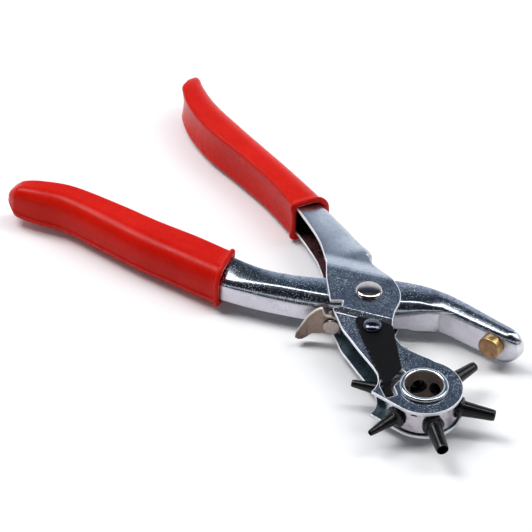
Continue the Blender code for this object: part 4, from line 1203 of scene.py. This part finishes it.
def grip(side, rows, tail, half_height, lower_corner, mouth):
    """Dipped sleeve: a rolled bead at the mouth, closed and domed beyond the end of its lever."""
    offset = GRIP_WALL + GAP
    table = []
    tail_web, tail_open, outward, length = tail
    for turn in reversed(GRIP_TAIL_TURNS):
        shrink = math.cos(math.radians(turn))
        reach = outward * length * math.sin(math.radians(turn))
        center = (tail_web + tail_open) / 2
        web = center + (tail_web - center) * shrink + reach
        edge = center + (tail_open - center) * shrink + reach
        table.append((*web[:2], *edge[:2], (half_height + offset) * shrink))
    for row in rows:
        web = Vector((*row[:2], 0))
        edge = Vector((*row[2:], 0))
        across = (edge - web).normalized() * offset
        table.append((*(web - across)[:2], *(edge + across)[:2], half_height + offset))
    webs = smooth_curve([r[:2] for r in table], STATION_STEPS)
    edges = smooth_curve([r[2:] for r in table], STATION_STEPS)
    last = int((len(GRIP_TAIL_TURNS) + mouth) * STATION_STEPS)
    pairs = list(zip(webs, edges))[: last + 1]
    sections = [(web, Vector((edge.x, edge.y, 0)), edge.z, lower_corner) for web, edge in pairs]
    rings = [grip_ring(*section, 0.0) for section in sections]
    web, edge, height, corner = sections[-1]
    lip = (web - sections[-4][0]).normalized()
    for k, degrees in enumerate(spread(*GRIP_BEAD, GRIP_BEAD_STEPS)):
        angle = math.radians(degrees)
        ahead = 1.2 - 1.1 * math.cos(angle) if k else 0.2
        inset = -GRIP_RIM * max(math.sin(angle), 0) - 0.1
        if k > GRIP_BEAD_TURN_IN:
            inset = GRIP_RIM * 0.4 * (k - GRIP_BEAD_TURN_IN)
        rings.append(grip_ring(web + lip * ahead, edge + lip * ahead, height, corner, inset))
    ahead = lip * GRIP_MOUTH_END
    rings.append(grip_ring(web + ahead, edge + ahead, height, corner, GRIP_WALL))
    inner = [grip_ring(*section, GRIP_WALL) for section in sections[len(GRIP_TAIL_TURNS) * STATION_STEPS :]]
    bm = bmesh.new()
    loft(bm, rings + list(reversed(inner)))
    names = (side + "_side", "red_vinyl", [side + "_grip"])
    make_piece(side + "_grip_sleeve", bm, *names, [RED], GRIP_SHARP_ANGLE)


anvil_lever()
head_lever()
main_rivet()
turret_drum()
turret_hub()
for number, size in enumerate(PUNCH_SIZES):
    punch_tube(number, size)
anvil_pad()
index_spring()
index_spring_rivet()
latch()
latch_rivet()
grip("anvil", ANVIL_STATIONS, ANVIL_GRIP_TAIL, ANVIL_HALF_HEIGHT, GRIP_TIGHT_CORNER, ANVIL_GRIP_MOUTH)
grip("head", HEAD_STATIONS, HEAD_GRIP_TAIL, HEAD_TAIL_HALF_HEIGHT, GRIP_WEB_CORNER, HEAD_GRIP_MOUTH)
for node, mat in (("return_spring", SPRING_BLACK), ("latch_spacer", LATCH_NICKEL)):
    kept = frame["nodes"][node]
    kept.data.materials.clear()
    kept.data.materials.append(mat)
    modify(kept, "BEVEL", width=HIDDEN_BEVEL * MM, segments=2, limit_method="ANGLE")


# ---------- studio

VIEW_AZIMUTH = math.radians(40)
VIEW_ELEVATION = math.radians(40.65)
VIEW_ROLL = math.radians(2.06)
VIEW_DISTANCE = 1.2766
VIEW_TARGET = Vector((-48.7, -9.4, MIDDLE)) * MM
NEAR_SIDE = Vector((math.sin(VIEW_AZIMUTH), -math.cos(VIEW_AZIMUTH), 0))
LAMP_TARGET = Vector((-0.04, 0, 0))
STRIP_PLACE = UP * 1.4 - NEAR_SIDE * 0.28
FLOOR_SIZE = 6.0
FLOOR_DROP = 0.0003
FAR_WALL = (0.93, 0.93, 0.94)
# What the metal mirrors: (share of the half turn from the near horizon overhead to the far one, colour)
ROOM = (
    (0.0, (0.08, 0.08, 0.09)), (0.05, (0.03, 0.03, 0.03)), (0.09, (0.03, 0.03, 0.03)),
    (0.11, (1.6, 1.6, 1.6)), (0.13, (1.6, 1.6, 1.6)), (0.16, (0.03, 0.03, 0.04)),
    (0.38, (0.03, 0.03, 0.04)), (0.43, (0.09, 0.1, 0.12)), (0.52, (0.09, 0.1, 0.12)),
    (0.545, (2.2, 2.2, 2.2)), (0.58, (2.2, 2.2, 2.2)), (0.61, (0.1, 0.12, 0.15)),
    (0.7, (0.02, 0.035, 0.05)), (0.765, (0.08, 0.12, 0.18)), (0.8, (0.42, 0.5, 0.62)),
    (0.84, (1.0, 1.08, 1.2)), (0.92, (1.3, 1.32, 1.36)), (1.0, (1.1, 1.1, 1.12)),
)


def aimed(name, data, location, direction):
    """Camera or lamp that looks along a direction."""
    obj = add_object(name, data)
    obj.location = location
    obj.rotation_mode = "QUATERNION"
    obj.rotation_quaternion = direction.to_track_quat("-Z", "Y")
    return obj


look_along = -NEAR_SIDE * math.cos(VIEW_ELEVATION) - UP * math.sin(VIEW_ELEVATION)
lens = bpy.data.cameras.new("camera")
lens.lens = 203.0
lens.clip_start = 0.05
lens.clip_end = 30.0
camera = aimed("camera", lens, VIEW_TARGET - look_along * VIEW_DISTANCE, look_along)
camera.rotation_quaternion = camera.rotation_quaternion @ Quaternion((0, 0, 1), VIEW_ROLL)
bpy.context.scene.camera = camera

floor_bm = bmesh.new()
bmesh.ops.create_grid(floor_bm, x_segments=1, y_segments=1, size=FLOOR_SIZE)
floor_mesh = bpy.data.meshes.new("floor")
floor_bm.to_mesh(floor_mesh)
floor_bm.free()
floor = add_object("floor", floor_mesh)
floor.location.z = cad_box[0].z - FLOOR_DROP
floor_mesh.materials.append(floor_paper())


def area_light(name, location, size, energy):
    data = bpy.data.lights.new(name, "AREA")
    data.shape = "RECTANGLE"
    data.size, data.size_y = size
    data.energy = energy
    return aimed(name, data, location, LAMP_TARGET - Vector(location))


def studio_world():
    """Room seen in the metal: dark behind the camera, a soft box overhead, a grey-blue far wall."""
    world = bpy.data.worlds.new("studio")
    world.use_nodes = True
    nodes = Nodes(world.node_tree)
    view = nodes.add("TexCoord").outputs["Generated"]
    split = nodes.add("SeparateXYZ")
    nodes.link(view, split, 0)
    toward = nodes.add("VectorMath", "DOT_PRODUCT")
    nodes.link(view, toward, 0)
    toward.inputs[1].default_value = NEAR_SIDE
    angle = nodes.add("Math", "ARCTAN2")
    nodes.link(split.outputs["Z"], angle, 0)
    nodes.link(toward.outputs["Value"], angle, 1)
    share = nodes.add("Math", "DIVIDE")
    nodes.link(angle.outputs[0], share, 0)
    share.inputs[1].default_value = math.pi
    mirrored = nodes.ramp(share.outputs[0], *ROOM)
    camera_ray = nodes.add("LightPath").outputs["Is Camera Ray"]
    nodes.link(nodes.mix(camera_ray, mirrored, FAR_WALL), nodes.tree.nodes["Background"], "Color")
    bpy.context.scene.world = world


studio_world()
area_light("key", (-0.9, -0.2, 1.3), (0.7, 0.7), 12)
area_light("fill", (0.6, 0.9, 1.2), (0.9, 0.9), 8)
strip = area_light("strip", STRIP_PLACE, (1.6, 0.09), 6)
across = Vector((NEAR_SIDE.y, -NEAR_SIDE.x, 0))
aim = (LAMP_TARGET - STRIP_PLACE).normalized()
strip.rotation_quaternion = Matrix((across, -aim.cross(across), -aim)).transposed().to_quaternion()
bpy.context.scene.view_settings.view_transform = "Standard"
